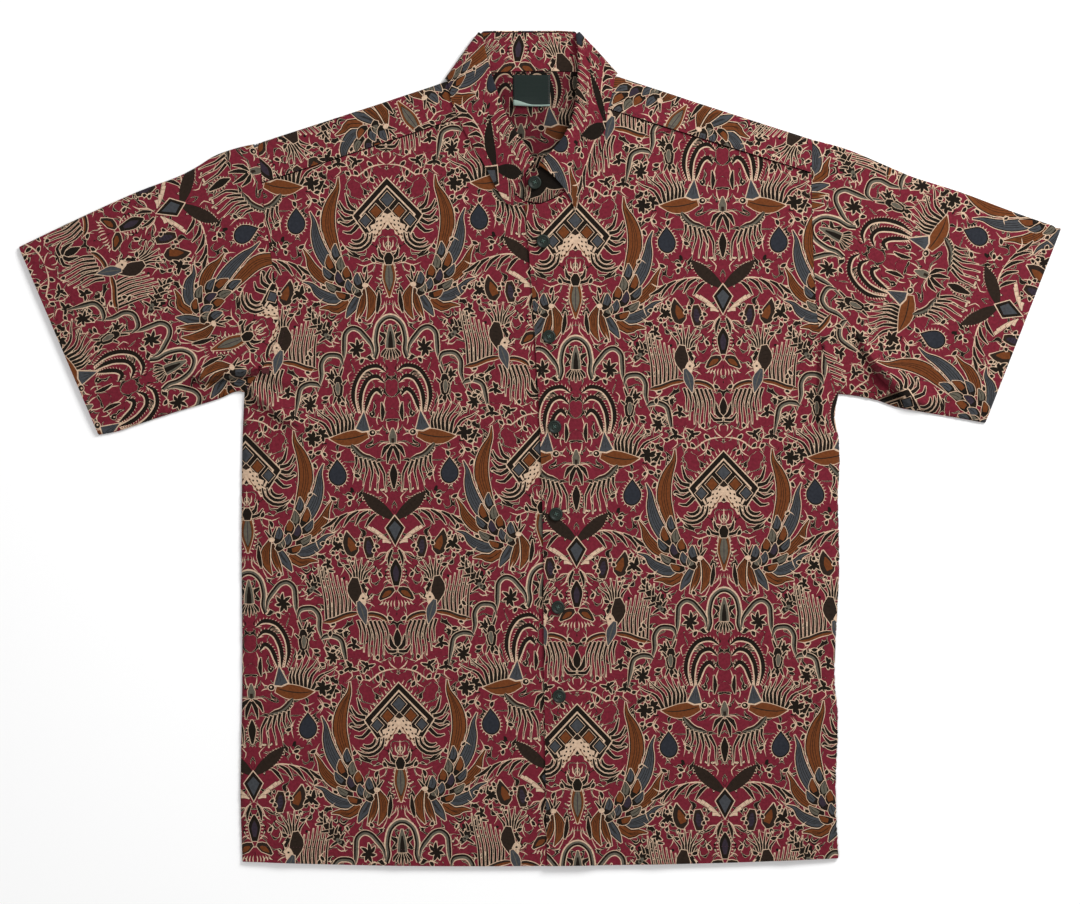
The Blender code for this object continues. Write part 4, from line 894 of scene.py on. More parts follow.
def cloth(name, loop, middle, facing, print_on, spacing=8.0, lined=False, step=0.2, folds=(),
          extra=(), lining=None):
    """A cut piece: a printed outer face along the figure, an inner face and a rim between them.

    The loop is the cut in the plane of the cloth, and middle gives the place of its points on the middle
    surface of the laid piece. Facing is 1 if the cross product of the plane's X and Y, as they run on the
    piece, points out of its printed side, and -1 if it points into it. A lined piece shows its print
    inside too, or the print of its lining, if that has its own place on the figure.
    """
    loop = dense(np.vstack([loop, loop[:1]]))[:-1]
    (flat, faces, dyes), (inner_flat, inner_faces, inner_dyes), rim, inner_rim = two_sheets(
        loop, print_on, lining, lined, spacing, folds, extra)

    def laid(uv):
        at = middle(uv)
        return at, unit(np.cross(middle(uv + (step, 0)) - at, middle(uv + (0, step)) - at)) * facing

    (at, out), (inner_at, inner_out) = laid(flat), laid(inner_flat)
    points = np.vstack([at + out * WALL / 2, inner_at - inner_out * WALL / 2]) * MM
    count = len(flat)
    a, b, c, d = rim, np.roll(rim, -1), count + inner_rim, count + np.roll(inner_rim, -1)
    sides = np.vstack([np.column_stack([b, a, c]), np.column_stack([b, c, d])])[:, ::facing]
    triangles = np.vstack([faces[:, ::facing], inner_faces[:, ::-facing] + count, sides])
    normals = np.vstack([out, -inner_out])[triangles]
    corner, along, across = (points[sides[:, k]] for k in range(3))
    normals[-len(sides):] = unit(np.cross(along - corner, across - corner) / MM**2)[:, None]
    mesh = mesh_of(name, points, triangles, normals)

    wrong = np.zeros(len(triangles))
    wrong[len(faces):-len(sides)] = lined
    tones = np.concatenate([dyes, inner_dyes, np.full(len(sides), MAROON)])
    values = mesh.attributes.new("dye", "FLOAT", "FACE")
    values.data.foreach_set("value", (tones / 10 + wrong).astype(np.float32))
    places = np.vstack([print_on[1](flat), (lining or print_on)[1](inner_flat)])
    drawn = mesh.attributes.new("figure", "FLOAT2", "POINT")
    drawn.data.foreach_set("vector", places.ravel().astype(np.float32))
    share = np.vstack([flat, inner_flat])  # the two sheets stand above each other on the map
    share = (share - share.min(0)) / (share.max(0) - share.min(0))
    share[:count] = share[:count] * (0.98, 0.47 if lined else 0.9) + (0.01, 0.01)
    share[count:] = share[count:] * (0.98, 0.47 if lined else 0.06) + (0.01, 0.51 if lined else 0.93)
    layer = mesh.uv_layers.new(name="OFBake")
    layer.data.foreach_set("uv", share[triangles].ravel().astype(np.float32))
    mesh.materials.append(cotton)
    made = bpy.data.objects.new(name + "_cloth", mesh)
    bpy.context.collection.objects.link(made)
    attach(made, "root")
    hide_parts(name)


def wrapped(xy, height, other):
    """Middle points of a body panel, whose side seams turn a quarter round towards the other layer."""
    low = xy[:, 1] < np.interp(xy[:, 0], *zip(ARMPIT[-1], ARMPIT[1]))
    found = np.column_stack([xy, height(xy)])
    for s in (-1, 1):
        edge = side_x(s, xy[:, 1])
        beyond = s * (xy[:, 0] - edge)
        turned = (beyond > 0) & low
        on_edge = np.column_stack([edge, xy[:, 1]])[turned]
        if not turned.any():
            continue
        top, bottom = height(on_edge), other(on_edge)
        radius = np.abs(top - bottom) / 2
        angle = np.clip(beyond[turned] / np.maximum(radius, 0.1), 0, math.pi / 2)
        found[turned, 0] = on_edge[:, 0] + s * radius * np.sin(angle)
        found[turned, 2] = (top + bottom) / 2 + (top - bottom) / 2 * np.cos(angle)
    return found


TURN = math.pi / 2 * LAYER / 2  # cloth in a quarter turn at a seam that lies folded
YOKE_SEAM_Y = 225


def armhole(side, low, high):
    """Points of a cut piece's edge at the armhole, between two heights."""
    y = np.arange(low, high, 6.0)
    return np.column_stack([side_x(side, y) - side * CLEAR, y])


back_sides = {
    s: np.vstack([
        body_side[s][::-1] + (s * TURN, 0), armhole(s, 56, YOKE_SEAM_Y + 0.1),
        [[side_x(s, YOKE_SEAM_Y) - s * CLEAR, YOKE_SEAM_Y - CLEAR]],
    ]) for s in (-1, 1)
}
back_loop = np.vstack([hem_line, back_sides[1], back_sides[-1][::-1]])
cloth("back", back_loop, lambda xy: wrapped(xy, back_height, front_height), -1,
      printed((0, 210), smallest=25.0))


# ---- Fronts ----
# Two panels of the same cotton, sewn to the yoke, the sleeves, the back and the collar, and turned under
# at their own edges. The left one lies over the right one, which runs on beneath it.

YOKE_NECK_Y = {-1: 304, 1: 311.8}
YOKE_ARM_Y = {-1: 243, 1: 252}
NECK_LOW, HEM_LOW = 222.2, -382.8  # Y of both ends of the fronts' own edges
OVERLAP, LAP_LIFT = 28.0, 1.8  # how far the left front lies over the right one, and rises for that
SEAM_DENT = 0.8  # from the front yoke seam to where the front's own cloth turns down into it

# Collar in sections from the front to the fold on the shoulder: roll, neck seam, free edge and its bow
collar_front = {
    -1: (
        (-6.9, 261.4, -6.0, 222.8, -25.2, 220.1, 3.5), (-12.4, 271.4, -18.8, 228.3, -32.0, 224.5, 1.5),
        (-18.8, 282.4, -30.7, 239.3, -39.9, 236.6, 0), (-26.1, 293.4, -41.7, 255.8, -48.1, 252.5, 0),
        (-32.6, 305.4, -52.7, 273.3, -58.2, 271.0, 0), (-39.9, 325.5, -64.0, 294.0, -69.0, 288.5, 0),
        (-46.3, 346.0, -71.5, 312.0, -78.5, 309.0, 0), (-50.5, 363.0, -75.7, 325.0, -83.0, 323.5, 0),
        (-53.5, 378.5, -77.5, 336.7, -84.8, 336.1, 0),
    ),
    1: (
        (-2.3, 259.5, 0.5, 223.3, 31.6, 216.4, -5.0), (7.8, 268.7, 17.9, 231.0, 36.0, 227.0, -2.0),
        (17.9, 279.7, 33.5, 245.8, 42.5, 243.0, 0), (25.2, 292.5, 44.5, 261.4, 50.5, 258.6, 0),
        (30.7, 308.1, 51.4, 278.5, 57.0, 275.5, 0), (33.2, 324.6, 54.0, 295.5, 59.5, 293.0, 0),
        (34.4, 343.0, 56.5, 312.5, 62.0, 310.5, 0), (34.4, 361.3, 60.0, 327.5, 66.0, 327.0, 0),
        (32.2, 378.2, 63.0, 340.8, 68.2, 340.6, 0),
    ),
}
collar_back = (
    (-52.4, 381.6, -74.5, 338.8, -80.0, 335.3, 0), (-47.0, 382.2, -68.3, 340.0, -72.0, 334.5, 0),
    (-32.6, 382.4, -41.7, 343.4, -44.5, 336.8, 0), (-8.7, 382.4, -6.9, 344.8, -7.8, 338.4, 0),
    (14.2, 382.4, 28.0, 344.2, 31.6, 338.4, 0), (26.5, 381.8, 52.0, 342.5, 57.0, 338.0, 0),
    (31.2, 381.4, 59.5, 341.8, 64.0, 339.6, 0),
)
neck_seam = {s: smooth([row[2:4] for row in collar_front[s]], 6) for s in (-1, 1)}


def own_edge_x(side, y):
    """A front's own edge, as X at a height Y: the right one runs on under the left one."""
    return edge_x(y) + (OVERLAP if side < 0 else 0.0)


def neckline(side):
    """The neck edge of a front, from its own front edge to the yoke seam."""
    seam, y = neck_seam[side], YOKE_NECK_Y[side]
    corner = (np.interp(y, seam[:, 1], seam[:, 0]), y)
    return np.vstack([[own_edge_x(side, NECK_LOW), NECK_LOW], seam[seam[:, 1] < y - 2], corner])


def left_height(xy):
    """The left front also lifts over the right one, and comes down again past its edge."""
    inward = xy[..., 0] - edge_x(xy[..., 1])
    return front_height(xy) + LAP_LIFT * (1 - ease((inward - OVERLAP - 4) / 20))


def front_loop(side):
    """The cut of a front: down its own edge, along the hem, up the side and the armhole, round the neck."""
    y = np.arange(NECK_LOW - 0.2, -380, -12.0)
    edge = np.column_stack([own_edge_x(side, y), y])
    corner_x = own_edge_x(side, HEM_LOW)
    hem = hem_line[::side]
    hem = hem[side * (hem[:, 0] - corner_x) > 2]
    arm = arm_seam[side][::-1]
    arm = arm[arm[:, 1] < YOKE_ARM_Y[side] - 2]
    top = (side_x(side, YOKE_ARM_Y[side]) - side * CLEAR, YOKE_ARM_Y[side] - SEAM_DENT)
    neck = neckline(side)[:0:-1] - (0, 0.2)
    neck[0, 1] = YOKE_NECK_Y[side] - SEAM_DENT
    loop = np.vstack([edge, [[corner_x, np.interp(corner_x, *hem_line.T)]], hem,
                      body_side[side][::-1] + (side * TURN, 0), arm[1:] - (side * CLEAR, 0), [top], neck])
    return loop[::side]


cloth("right_front", front_loop(-1), lambda xy: wrapped(xy, front_height, back_height), 1,
      printed((-140.8, 246.9), (-0.0234, 1), 0.9), extra=[crease_rows()])
cloth("left_front", front_loop(1), lambda xy: wrapped(xy, left_height, back_height), 1,
      printed((31.6, 227.4), (-0.004, 1), 0.9),
      extra=[crease_rows()])


# ---- Yoke ----
# One panel across the back, cut twice, that folds over both shoulders and is sewn down to the fronts
# beyond them. Its print runs up the back, so it stands on its head in front.

THICK, RISE = 0.9, 0.8  # of the turnings in the front yoke seam: beside the collar, and more past it
ridge = {}
for side in (-1, 1):
    run = unit(np.subtract(SHOULDER[side], NECK[side]))
    ridge[side] = np.array(NECK[side]), run, left_of(run) * side


def folded_over(side, xy):
    """Where plan points of a front strip lie on the cloth: beyond the fold along the shoulder."""
    start, _, away = ridge[side]
    depth = (start - xy) @ away
    foot = xy + away * depth[:, None]
    return foot + away * (depth + math.pi * (front_height(foot) - back_height(foot)) / 2)[:, None]


def seam_thick(side, x):
    """How far the front edge of the yoke stands over the front, on its turnings."""
    return RISE * ease((side * x - 78) / 16) + THICK


def yoke_middle(uv):
    """Middle points of the yoke: half a turn round each shoulder fold, then flat on to the seam in front."""
    found = np.column_stack([uv, back_height(uv)])
    for side in (-1, 1):
        start, _, away = ridge[side]
        beyond = (uv - start) @ away
        mine = (beyond > 0) & (np.sign(uv[:, 0]) == side)
        if not mine.any():
            continue
        beyond, foot = beyond[mine], uv[mine] - away * beyond[mine][:, None]
        low, high = back_height(foot), front_height(foot)
        radius = (high - low) / 2
        angle = np.clip(beyond / radius, 0, math.pi)
        out = radius * np.sin(angle) - np.maximum(beyond - math.pi * radius, 0)
        plan = foot + away * out[:, None]
        rising = (low + high) / 2 - radius * np.cos(angle)
        ends = np.array([neckline(side)[-1][0], side_x(side, YOKE_ARM_Y[side])]) * side
        seam_y = np.interp(plan[:, 0] * side, ends, (YOKE_NECK_Y[side], YOKE_ARM_Y[side]))
        over = seam_thick(side, plan[:, 0]) * (1 - ease((plan[:, 1] - seam_y - 2) / 7))
        found[mine] = np.column_stack([plan, np.where(angle < math.pi, rising, front_height(plan) + over)])
    return found


def wing(side):
    """The cut of a front strip from the shoulder end round to the neck end."""
    arm = arm_seam[side]
    arm = arm[arm[:, 1] > YOKE_ARM_Y[side] + 2] - (side * CLEAR, 0)
    corner = (side_x(side, YOKE_ARM_Y[side]) - side * CLEAR, YOKE_ARM_Y[side] + CLEAR)
    neck = neckline(side)[-1] + (side * CLEAR, CLEAR)
    rising = neck_seam[side][neck_seam[side][:, 1] > YOKE_NECK_Y[side] + 2] + (side * CLEAR, 0)
    return folded_over(side, dense(np.vstack([arm, [corner], [neck], rising])))


back_neck = smooth([NECK[-1], *[row[2:4] for row in collar_back], NECK[1]], 6)
arm_rows = {s: armhole(s, YOKE_SEAM_Y, 276) for s in (-1, 1)}
yoke_loop = np.vstack([
    arm_rows[1], [SHOULDER[1]], wing(1), back_neck[::-1], wing(-1)[::-1], [SHOULDER[-1]], arm_rows[-1][::-1],
])
shoulder_folds = []
for side in (-1, 1):
    start, run, away = ridge[side]
    width = np.linalg.norm(np.subtract(SHOULDER[side], NECK[side]))
    line = start + np.arange(3.0, width - 2, 3.0)[:, None] * run
    half_turn = math.pi * (front_height(line) - back_height(line))[:, None] / 2
    shoulder_folds += [line + away * half_turn * share for share in (0, 0.25, 0.5, 0.75, 1)]
cloth("yoke", yoke_loop, yoke_middle, -1, printed((2, 202), smallest=1.0), lined=True,
      folds=shoulder_folds[2::5], extra=shoulder_folds, lining=printed((-18, 64), smallest=3.0))


# ---- Sleeves ----
# Each is a flattened tube, folded along its top and sewn along its underarm. Its print stands upright
# from the cuff towards the body.

def sleeve(side, name, print_on):
    """A sleeve on a plane that runs along its top fold and, on both sides of that, down to the underarm."""
    shoulder = np.array(SHOULDER[side], float)
    run = unit(np.subtract(CUFF_TOP[side], SHOULDER[side]))
    down = -left_of(run) * side
    plane = np.column_stack([run, down])
    top, under = (top_edge[side] - shoulder) @ plane, (under_edge[side] - shoulder) @ plane

    def middle(uv):
        along, across = uv[:, 0], np.abs(uv[:, 1])
        start = np.interp(along, *top.T)
        width = np.interp(along, *under.T) - start
        plan = shoulder + run * along[:, None] + down * (start + np.clip(across - TURN, 0, width))[:, None]
        low, high = back_height(plan), front_height(plan)
        radius, level = (high - low) / 2, np.sign(uv[:, 1])
        first = np.clip(across / TURN, 0, 1) * math.pi / 2
        last = np.clip((across - TURN - width) / TURN, 0, 1) * math.pi / 2
        plan = plan + down * (radius * (np.sin(last) - np.cos(first)))[:, None]
        return np.column_stack([plan, (low + high) / 2 + level * radius * np.sin(first) * np.cos(last)])

    def half(points, beyond=0.0):
        along, across = ((points - shoulder) @ plane).T
        return np.column_stack([along, across - np.interp(along, *top.T) + TURN + beyond])

    cuff = dense(np.array([CUFF_TOP[side], CUFF_LOW[side]], float))
    upper = np.vstack([
        half(cuff), half(under_edge[side][::-1], TURN), half(arm_seam[side][::-1][1:-1]) + (CLEAR, 0),
    ])
    loop = np.vstack([[[half(cuff[:1])[0, 0], 0]], upper, [[CLEAR, 0]], (upper * (1, -1))[::-1]])
    along = np.arange(3.0, half(cuff).min(0)[0] - 1, 3.0)
    levels = TURN * np.array((-1, -0.5, 0, 0.5, 1))
    top_folds = [np.column_stack([along, np.full(len(along), level)]) for level in levels]
    cloth(name, loop, middle, -side, print_on, folds=top_folds[2:3],
          extra=[*top_folds, half(crease_rows())])


sleeve(-1, "right_sleeve", printed((4.6, 160), (-1, 0), 1.0))
sleeve(1, "left_sleeve", printed((-101, 69.5), (-0.9985, -0.053), 1.0))


# ---- Collar ----
# A stand that is sewn on all round the neck, and a fall that rolls over it, both stiffened. In front
# they lie on the shirt, behind they lie under it, and at the shoulders they turn over.

TURNS = 14  # steps in the half turn over a shoulder
FULLER = 1.5  # how much more than a layer the fall rolls over the stand at the front


def collar_sections():
    """Sections with their angle round the shoulder fold, side, weight at the front and level normal."""
    rows = []
    for side in (-1, 1):
        half = smooth(collar_front[side], 5)
        weight = np.cos(np.linspace(0, math.pi / 2, len(half)))
        square = unit(left_of(np.gradient(half[:, :2], axis=0)) * side)
        up = unit(half[:, :2] - half[:, 4:6])
        square = unit(square * weight[:, None] + up * (1 - weight[:, None]))
        part = [(half[k], math.pi, side, weight[k], square[k]) for k in range(len(half))]
        part += [(half[-1], math.pi * (1 - k / TURNS), side, 0.0, up[-1]) for k in range(1, TURNS + 1)]
        rows.append(part)
    behind = smooth([collar_front[-1][-1], *collar_back, collar_front[1][-1]], 8)[1:-1]
    up = unit(behind[:, :2] - behind[:, 4:6])
    return rows[0] + [(row, 0.0, -1, 0.0, u) for row, u in zip(behind, up)] + rows[1][::-1]


def roll_axis(roll, base, square, weight):
    """The place beside a section's roll that the fall turns round, on the way to a base."""
    up = unit(roll - base)
    return roll - up * (LAYER + FULLER * weight + WALL) / 2 / (up @ square)


def turned(axis, inner, outer, angle, low, high, offset=0.0):
    """Points and normals round a fold along a section, square to it and away from the neck."""
    away = left_of(unit(outer - inner))
    away = away * np.sign(away @ ((inner + outer) / 2 - NECK_MIDDLE))
    radius = (high - low) / 2 + offset
    out = np.tile(np.append(away * math.sin(angle), -math.cos(angle)), (len(axis), 1))
    return np.column_stack([axis, (high + low) / 2]) + out * np.reshape(radius, (-1, 1)), out


def surface_on(grid):
    """A cut piece from a grid of middle points: the loop of its cut, the map from cloth to piece, and the
    line on the cloth of each of the grid's columns."""
    rows, columns = grid.shape[:2]
    along = lengths_along(grid[:, columns // 2])
    steps = np.linalg.norm(np.diff(grid, axis=1), axis=2)
    across = np.column_stack([np.zeros(rows), np.cumsum(steps, axis=1)])
    depth = across[:, -1]
    share = (across / depth[:, None]).mean(0)

    def middle(uv):
        i = np.clip(np.interp(uv[:, 0], along, np.arange(rows)), 0, rows - 1.0001)
        j = np.interp(uv[:, 1] / np.interp(uv[:, 0], along, depth), share, np.arange(columns))
        j = np.clip(j, 0, columns - 1.0001)
        a, b = i.astype(int), j.astype(int)
        fi, fj = (i - a)[:, None], (j - b)[:, None]
        here, beside = (grid[a, k] * (1 - fi) + grid[a + 1, k] * fi for k in (b, b + 1))
        return here * (1 - fj) + beside * fj

    loop = np.vstack([np.column_stack([along, np.zeros(rows)]), np.column_stack([along, depth])[::-1]])
    return loop, middle, [np.column_stack([along, depth * part]) for part in share]


def band_grid():
    """The stand, from the neck seam to the roll, its left end lapped over its right one."""
    sections = []
    for row, angle, side, weight, square in collar_sections():
        seam = row[2:4]
        roll = roll_axis(row[:2], seam, square, weight)
        up = unit(roll - seam)
        sections.append((seam, roll - up * 0.8 / (up @ square), angle, side))
    sections.insert(0, (np.array((6.9, 224.2)), np.array((5.6, 255.0)), math.pi, -1))
    sections.append((np.array((-14.0, 225.0)), np.array((-12.8, 255.8)), math.pi, 1))
    grid = []
    for seam, roll, angle, side in sections:
        seam = seam + unit(roll - seam) * (0.8 + 1.6 * math.sin(angle))
        line = seam + np.linspace(0, 1, 9)[:, None] * (roll - seam)
        high = left_height(line) if side > 0 else front_height(line)
        grid.append(turned(line, seam, roll, angle, back_height(line), high)[0])
    return np.array(grid)


def leaf_grid():
    """The fall, round the roll and down to its free edge."""
    shares = np.array((0, 0.06, 0.12, 0.2, 0.3, 0.4, 0.5, 0.6, 0.72, 0.8, 0.88, 0.94, 1))
    half_turn = np.linspace(0, math.pi, 9)[:-1, None]
    grid = []
    for row, angle, side, weight, square in collar_sections():
        edge = row[4:6]
        roll = roll_axis(row[:2], edge, square, weight)
        line = roll + shares[:, None] * (edge - roll)
        across = left_of(unit(roll - edge))
        line += (row[6] * 4 * shares * (1 - shares))[:, None] * (across if across[0] < 0 else -across)
        high = left_height(line) if side > 0 else front_height(line)
        offset = LAYER + FULLER * weight * (1 - shares) ** 2 + 0.6 * min(1, 3 * weight)
        if side < 0 and angle == math.pi:
            offset = offset + LAYER * ease((line[:, 0] + 45) / 25)
        low = back_height(line)
        fall, _ = turned(line, edge, roll, angle, low, high, offset)
        start, normal = turned(line[:1], edge, roll, angle, low[:1], high[:1])
        half, level = offset[0] / 2, np.append(square, 0.0)
        round_it = start + normal * half * (1 - np.cos(half_turn)) + level * half * np.sin(half_turn)
        grid.append(np.vstack([round_it, fall]))
    return np.array(grid)


loop, middle, _ = surface_on(band_grid())
band_shapes, figure_of = printed((201, -80))
throat = loop[:, 0].max() - 19  # where the stand shows below the fall
throat_leaves_and_shade = []  # dark leaves in cream rims there: partly print, partly painted shade of the fall over the stand
for halves, dye in (([1.2, 8.3, 1.7], CREAM), ([0.5, 7.5, 1.0], GREEN)):
    for s in (-1, 1):
        path = [(throat - 15 * s, 3), (throat - 5 * s, 17), (throat + 9 * s, 36)]
        throat_leaves_and_shade.append((ribbon(path, halves), dye))
cloth("collar_band", loop, middle, 1, (lambda *corners: band_shapes(*corners) + throat_leaves_and_shade, figure_of),
      5.0, True, 0.8)

fall = leaf_grid()
loop, middle, columns = surface_on(fall)
leaf_shapes, figure_of = printed((302, -269), (0, -1))


def fall_shapes_painted_shade(*corners):
    """The print of the fall, whose umber is painted as dark as its green: painted shade on the fall."""
    return [(outline, GREEN if dye == UMBER else dye) for outline, dye in leaf_shapes(*corners)]


cloth("collar_leaf", loop, middle, 1, (fall_shapes_painted_shade, figure_of), 4.0, False,
      0.8, folds=[columns[4][1:-1]], extra=[dense(line, 3.0) for line in columns[1:8]])


# ---- Neck label ----
# A blank tape of woven satin, sewn in at the back neck seam and tacked down at both sides. Its loose end
# lifts and shows the pale wrong side of the satin.

TAPE, FOLD = 0.5, 0.35  # thickness of the label, and of the end that shows its wrong side
(label_left, label_low, _), (label_right, label_high, _) = np.array(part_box("neck_label")) / MM


def finish_of(name, colour, roughness, grain=0.0, specular=0.5):
    """A plain finish, with ribs along Y if it is woven: grain is the radians of their wave in a metre."""
    made, tree, shader = plain_finish(name, Base_Color=(*colour, 1), Roughness=roughness,
                                      Specular_IOR_Level=specular)
    if grain:
        position = added(tree, "TexCoord", {})["Object"]
        waves = {"Vector": position, "Scale": grain / 20, "Distortion": 1.5}
        ribs = added(tree, "TexWave", waves, bands_direction="Y")["Fac"]
        bump = added(tree, "Bump", {"Strength": 0.4, "Distance": 0.0002, "Height": ribs})["Normal"]
        tree.links.new(bump, shader.inputs["Normal"])
    return made


def solid(name, points, faces, material, slot, *nodes):
    """Adds a smooth piece from points in millimetres, which may replace solids of the frame."""
    mesh = bpy.data.meshes.new(name)
    mesh.from_pydata((np.asarray(points) * MM).tolist(), [], [tuple(int(k) for k in face) for face in faces])
    mesh.polygons.foreach_set("use_smooth", np.full(len(mesh.polygons), True))
    mesh.materials.append(material)
    made = bpy.data.objects.new(name, mesh)
    bpy.context.collection.objects.link(made)
    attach(made, "root")
    if nodes:
        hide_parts(*nodes)
    return made


def slab(name, grid, thickness, *rest):
    """A sheet of even thickness on a grid of points whose upper side is up."""
    number = np.arange(grid[..., 0].size).reshape(grid.shape[:2])
    corners = number[:-1, :-1], number[:-1, 1:], number[1:, 1:], number[1:, :-1]
    cells = [tuple(cell) for cell in np.dstack(corners).reshape(-1, 4)]
    edge = np.r_[number[0], number[1:, -1], number[-1, -2::-1], number[-2:0:-1, 0]]
    under = [tuple(np.array(cell[::-1]) + number.size) for cell in cells]
    sides = [(a, a + number.size, b + number.size, b) for a, b in zip(edge, np.roll(edge, -1))]
    flat, half = grid.reshape(-1, 3), (0, 0, thickness / 2)
    return solid(name, np.vstack([flat + half, flat - half]), cells + under + sides, *rest)


down, over = np.linspace(0, 1, 18), np.linspace(0, 1, 21)
v, u = np.meshgrid(down, over, indexing="ij")
label_x = label_left + u * (label_right - label_left)
label_y = label_high - 0.3 - v * (label_high - label_low - 1.0 + 0.8 * np.sin(2.4 * u))
lift = 1.5 * ease((v - 0.72) / 0.28) * (1.1 - 0.7 * u) + 0.25 * np.sin(5 * u + 1) * v
label_z = back_height(np.dstack([label_x, label_y])) + (WALL + TAPE) / 2 + 0.2 + lift
satin = finish_of("label_satin", (0.0065, 0.0125, 0.0105), 0.45, 5200, 0.16)
label_grid = np.dstack([label_x, label_y, label_z])
label = slab("label", label_grid, TAPE, satin, "label_tape", "neck_label")
v, u = np.meshgrid(np.linspace(0, 1, 6), over, indexing="ij")
depth = 1.6 + 3.6 * (1 - ease(u / 0.55))
fold_x = label_left + 0.2 + u * (label_right - label_left - 0.4)
fold_y = label_y[-1] + depth * (1 - v) - 0.2
fold_z = label_z[-1] + FOLD + 0.5 * np.sin(math.pi * v) + 0.2 * (1 - v)
pale = finish_of("label_wrong_side", (0.20, 0.27, 0.235), 0.5, 5200)
label_fold = slab("label_fold", np.dstack([fold_x, fold_y, fold_z]), FOLD, pale, "label_tape")


# ---- Stitching ----
# Rows of dark maroon thread along the seams, the hems and the edges of the left front and the fall. Each
# stitch lies on the cloth, with both its ends sunk into it.

thread = finish_of("maroon_thread", (0.055, 0.010, 0.016), 0.7)


def stitches(name, lines, length=2.3, pitch=3.0, half=0.24, slot="batik_cloth"):
    """Stitches along lines of points, each with the way that its cloth faces: 1 up, -1 down.

    A stitch is a long lozenge of five points: its start, right, ridge and left, and its end.
    """
    lozenge = np.array(((0, 2, 1), (0, 3, 2), (4, 1, 2), (4, 2, 3), (0, 1, 3), (4, 3, 1)))
    points, faces = [], []
    for line, facing in lines:
        run = lengths_along(line)
        starts = np.arange(pitch / 2, run[-1] - length, pitch)
        a, b = (np.column_stack([np.interp(at, run, column) for column in line.T])
                for at in (starts, starts + length))
        middle, across = (a + b) / 2, unit(np.cross((0, 0, 1), b - a)) * half
        ridge_up, sunk = np.array((0, 0, half * facing)), np.array((0, 0, half * facing * 0.6))
        first = 5 * (sum(map(len, points)) + np.arange(len(a)))[:, None, None]
        points.append(np.stack([a - sunk, middle - across, middle + ridge_up, middle + across, b - sunk], 1))
        faces.append((first + lozenge[:, ::facing]).reshape(-1, 3))
    solid(name, np.vstack(points).reshape(-1, 3), np.vstack(faces), thread, slot)


def upon(plan, height, out=0.08):
    """A line on the upper face of a layer."""
    plan = dense(np.asarray(plan, float))
    return np.column_stack([plan, height(plan) + WALL / 2 + out])


def beneath(plan):
    """A line on the outside of the back, which faces down."""
    plan = dense(np.asarray(plan, float))
    return np.column_stack([plan, back_height(plan) - WALL / 2 + 0.12])


HEM_STITCH, SEAM_STITCH = 15.0, 2.2  # from the hem, and from the seams of the yoke
y = np.arange(216.0, -372.0, -8.0)
hem_row = hem_line + (0, HEM_STITCH)
left_hem = hem_row[hem_line[:, 0] > edge_x(-368) + 5]
right_hem = hem_row[hem_line[:, 0] < edge_x(-368) - 3]
lines = [
    (upon(np.column_stack([edge_x(y) + 4.5, y]), left_height), 1),
    (upon(np.vstack([left_hem[:-1], [(268, -361)]]), left_height), 1),
    (upon(np.vstack([[(-268, -364)], right_hem[1:]]), front_height), 1),
    (beneath(hem_row * (0.985, 1)), -1),
    (beneath([(-248, YOKE_SEAM_Y + SEAM_STITCH), (248, YOKE_SEAM_Y + SEAM_STITCH)]), -1),
]
for side in (-1, 1):
    inward = unit(np.subtract(SHOULDER[side], CUFF_TOP[side]))
    cuff = np.array([CUFF_TOP[side], CUFF_LOW[side]]) + ((0, -2.0), (0, 2.0)) + inward * 22
    lines += [(upon(cuff, front_height), 1), (beneath(cuff), -1)]
    lines.append((upon(arm_seam[side][2:-2] - (side * 6.0, 0), front_height), 1))
    seam = [(side_x(side, YOKE_ARM_Y[side]) - side * 1.5, YOKE_ARM_Y[side] + SEAM_STITCH),
            neckline(side)[-1] + (side * 3.0, SEAM_STITCH)]
    line = upon(seam, front_height, 0)
    line[:, 2] += seam_thick(side, line[:, 0])
    lines.append((line, 1))
edge_rows = fall[:, -3] + (0, 0, WALL / 2 + 0.08)  # 6 mm in from the free edge of the fall
lines += [(edge_rows[1:36], 1), (edge_rows[-34:-1], 1)]
stitches("seam_stitching", lines)
label_lines = [(label_grid[:-2, column] + (0, 0, TAPE / 2 + 0.02), 1) for column in (1, -2)]
stitches("label_stitching", label_lines, 1.4, 2.0, 0.16, "label_tape")


# ---- Buttons ----
# Seven equal buttons of dark resin, turned with a raised rim and pierced with four holes. Each is sewn
# on with a cross of grey-green thread.

resin = finish_of("button_resin", (0.0105, 0.0165, 0.0125), 0.42, specular=0.22)
button_thread = finish_of("button_thread", (0.060, 0.098, 0.082), 0.7, specular=0.2)


HOLE, HOLE_PLACE = 0.78, 1.55  # radius of a hole, and its middle on both axes of the button
ROUND, HOLE_ROUND = 40, 12  # points round the button, and round a hole


def circle(count, radius):
    """So many points round the axis of a button or a thread."""
    angles = np.arange(count) * 2 * math.pi / count
    return np.column_stack([np.cos(angles), np.sin(angles)]) * radius


def neighbours(loop):
    """Each number of a closed loop with the one that follows."""
    return [(int(a), int(b)) for a, b in zip(loop, np.roll(loop, -1))]


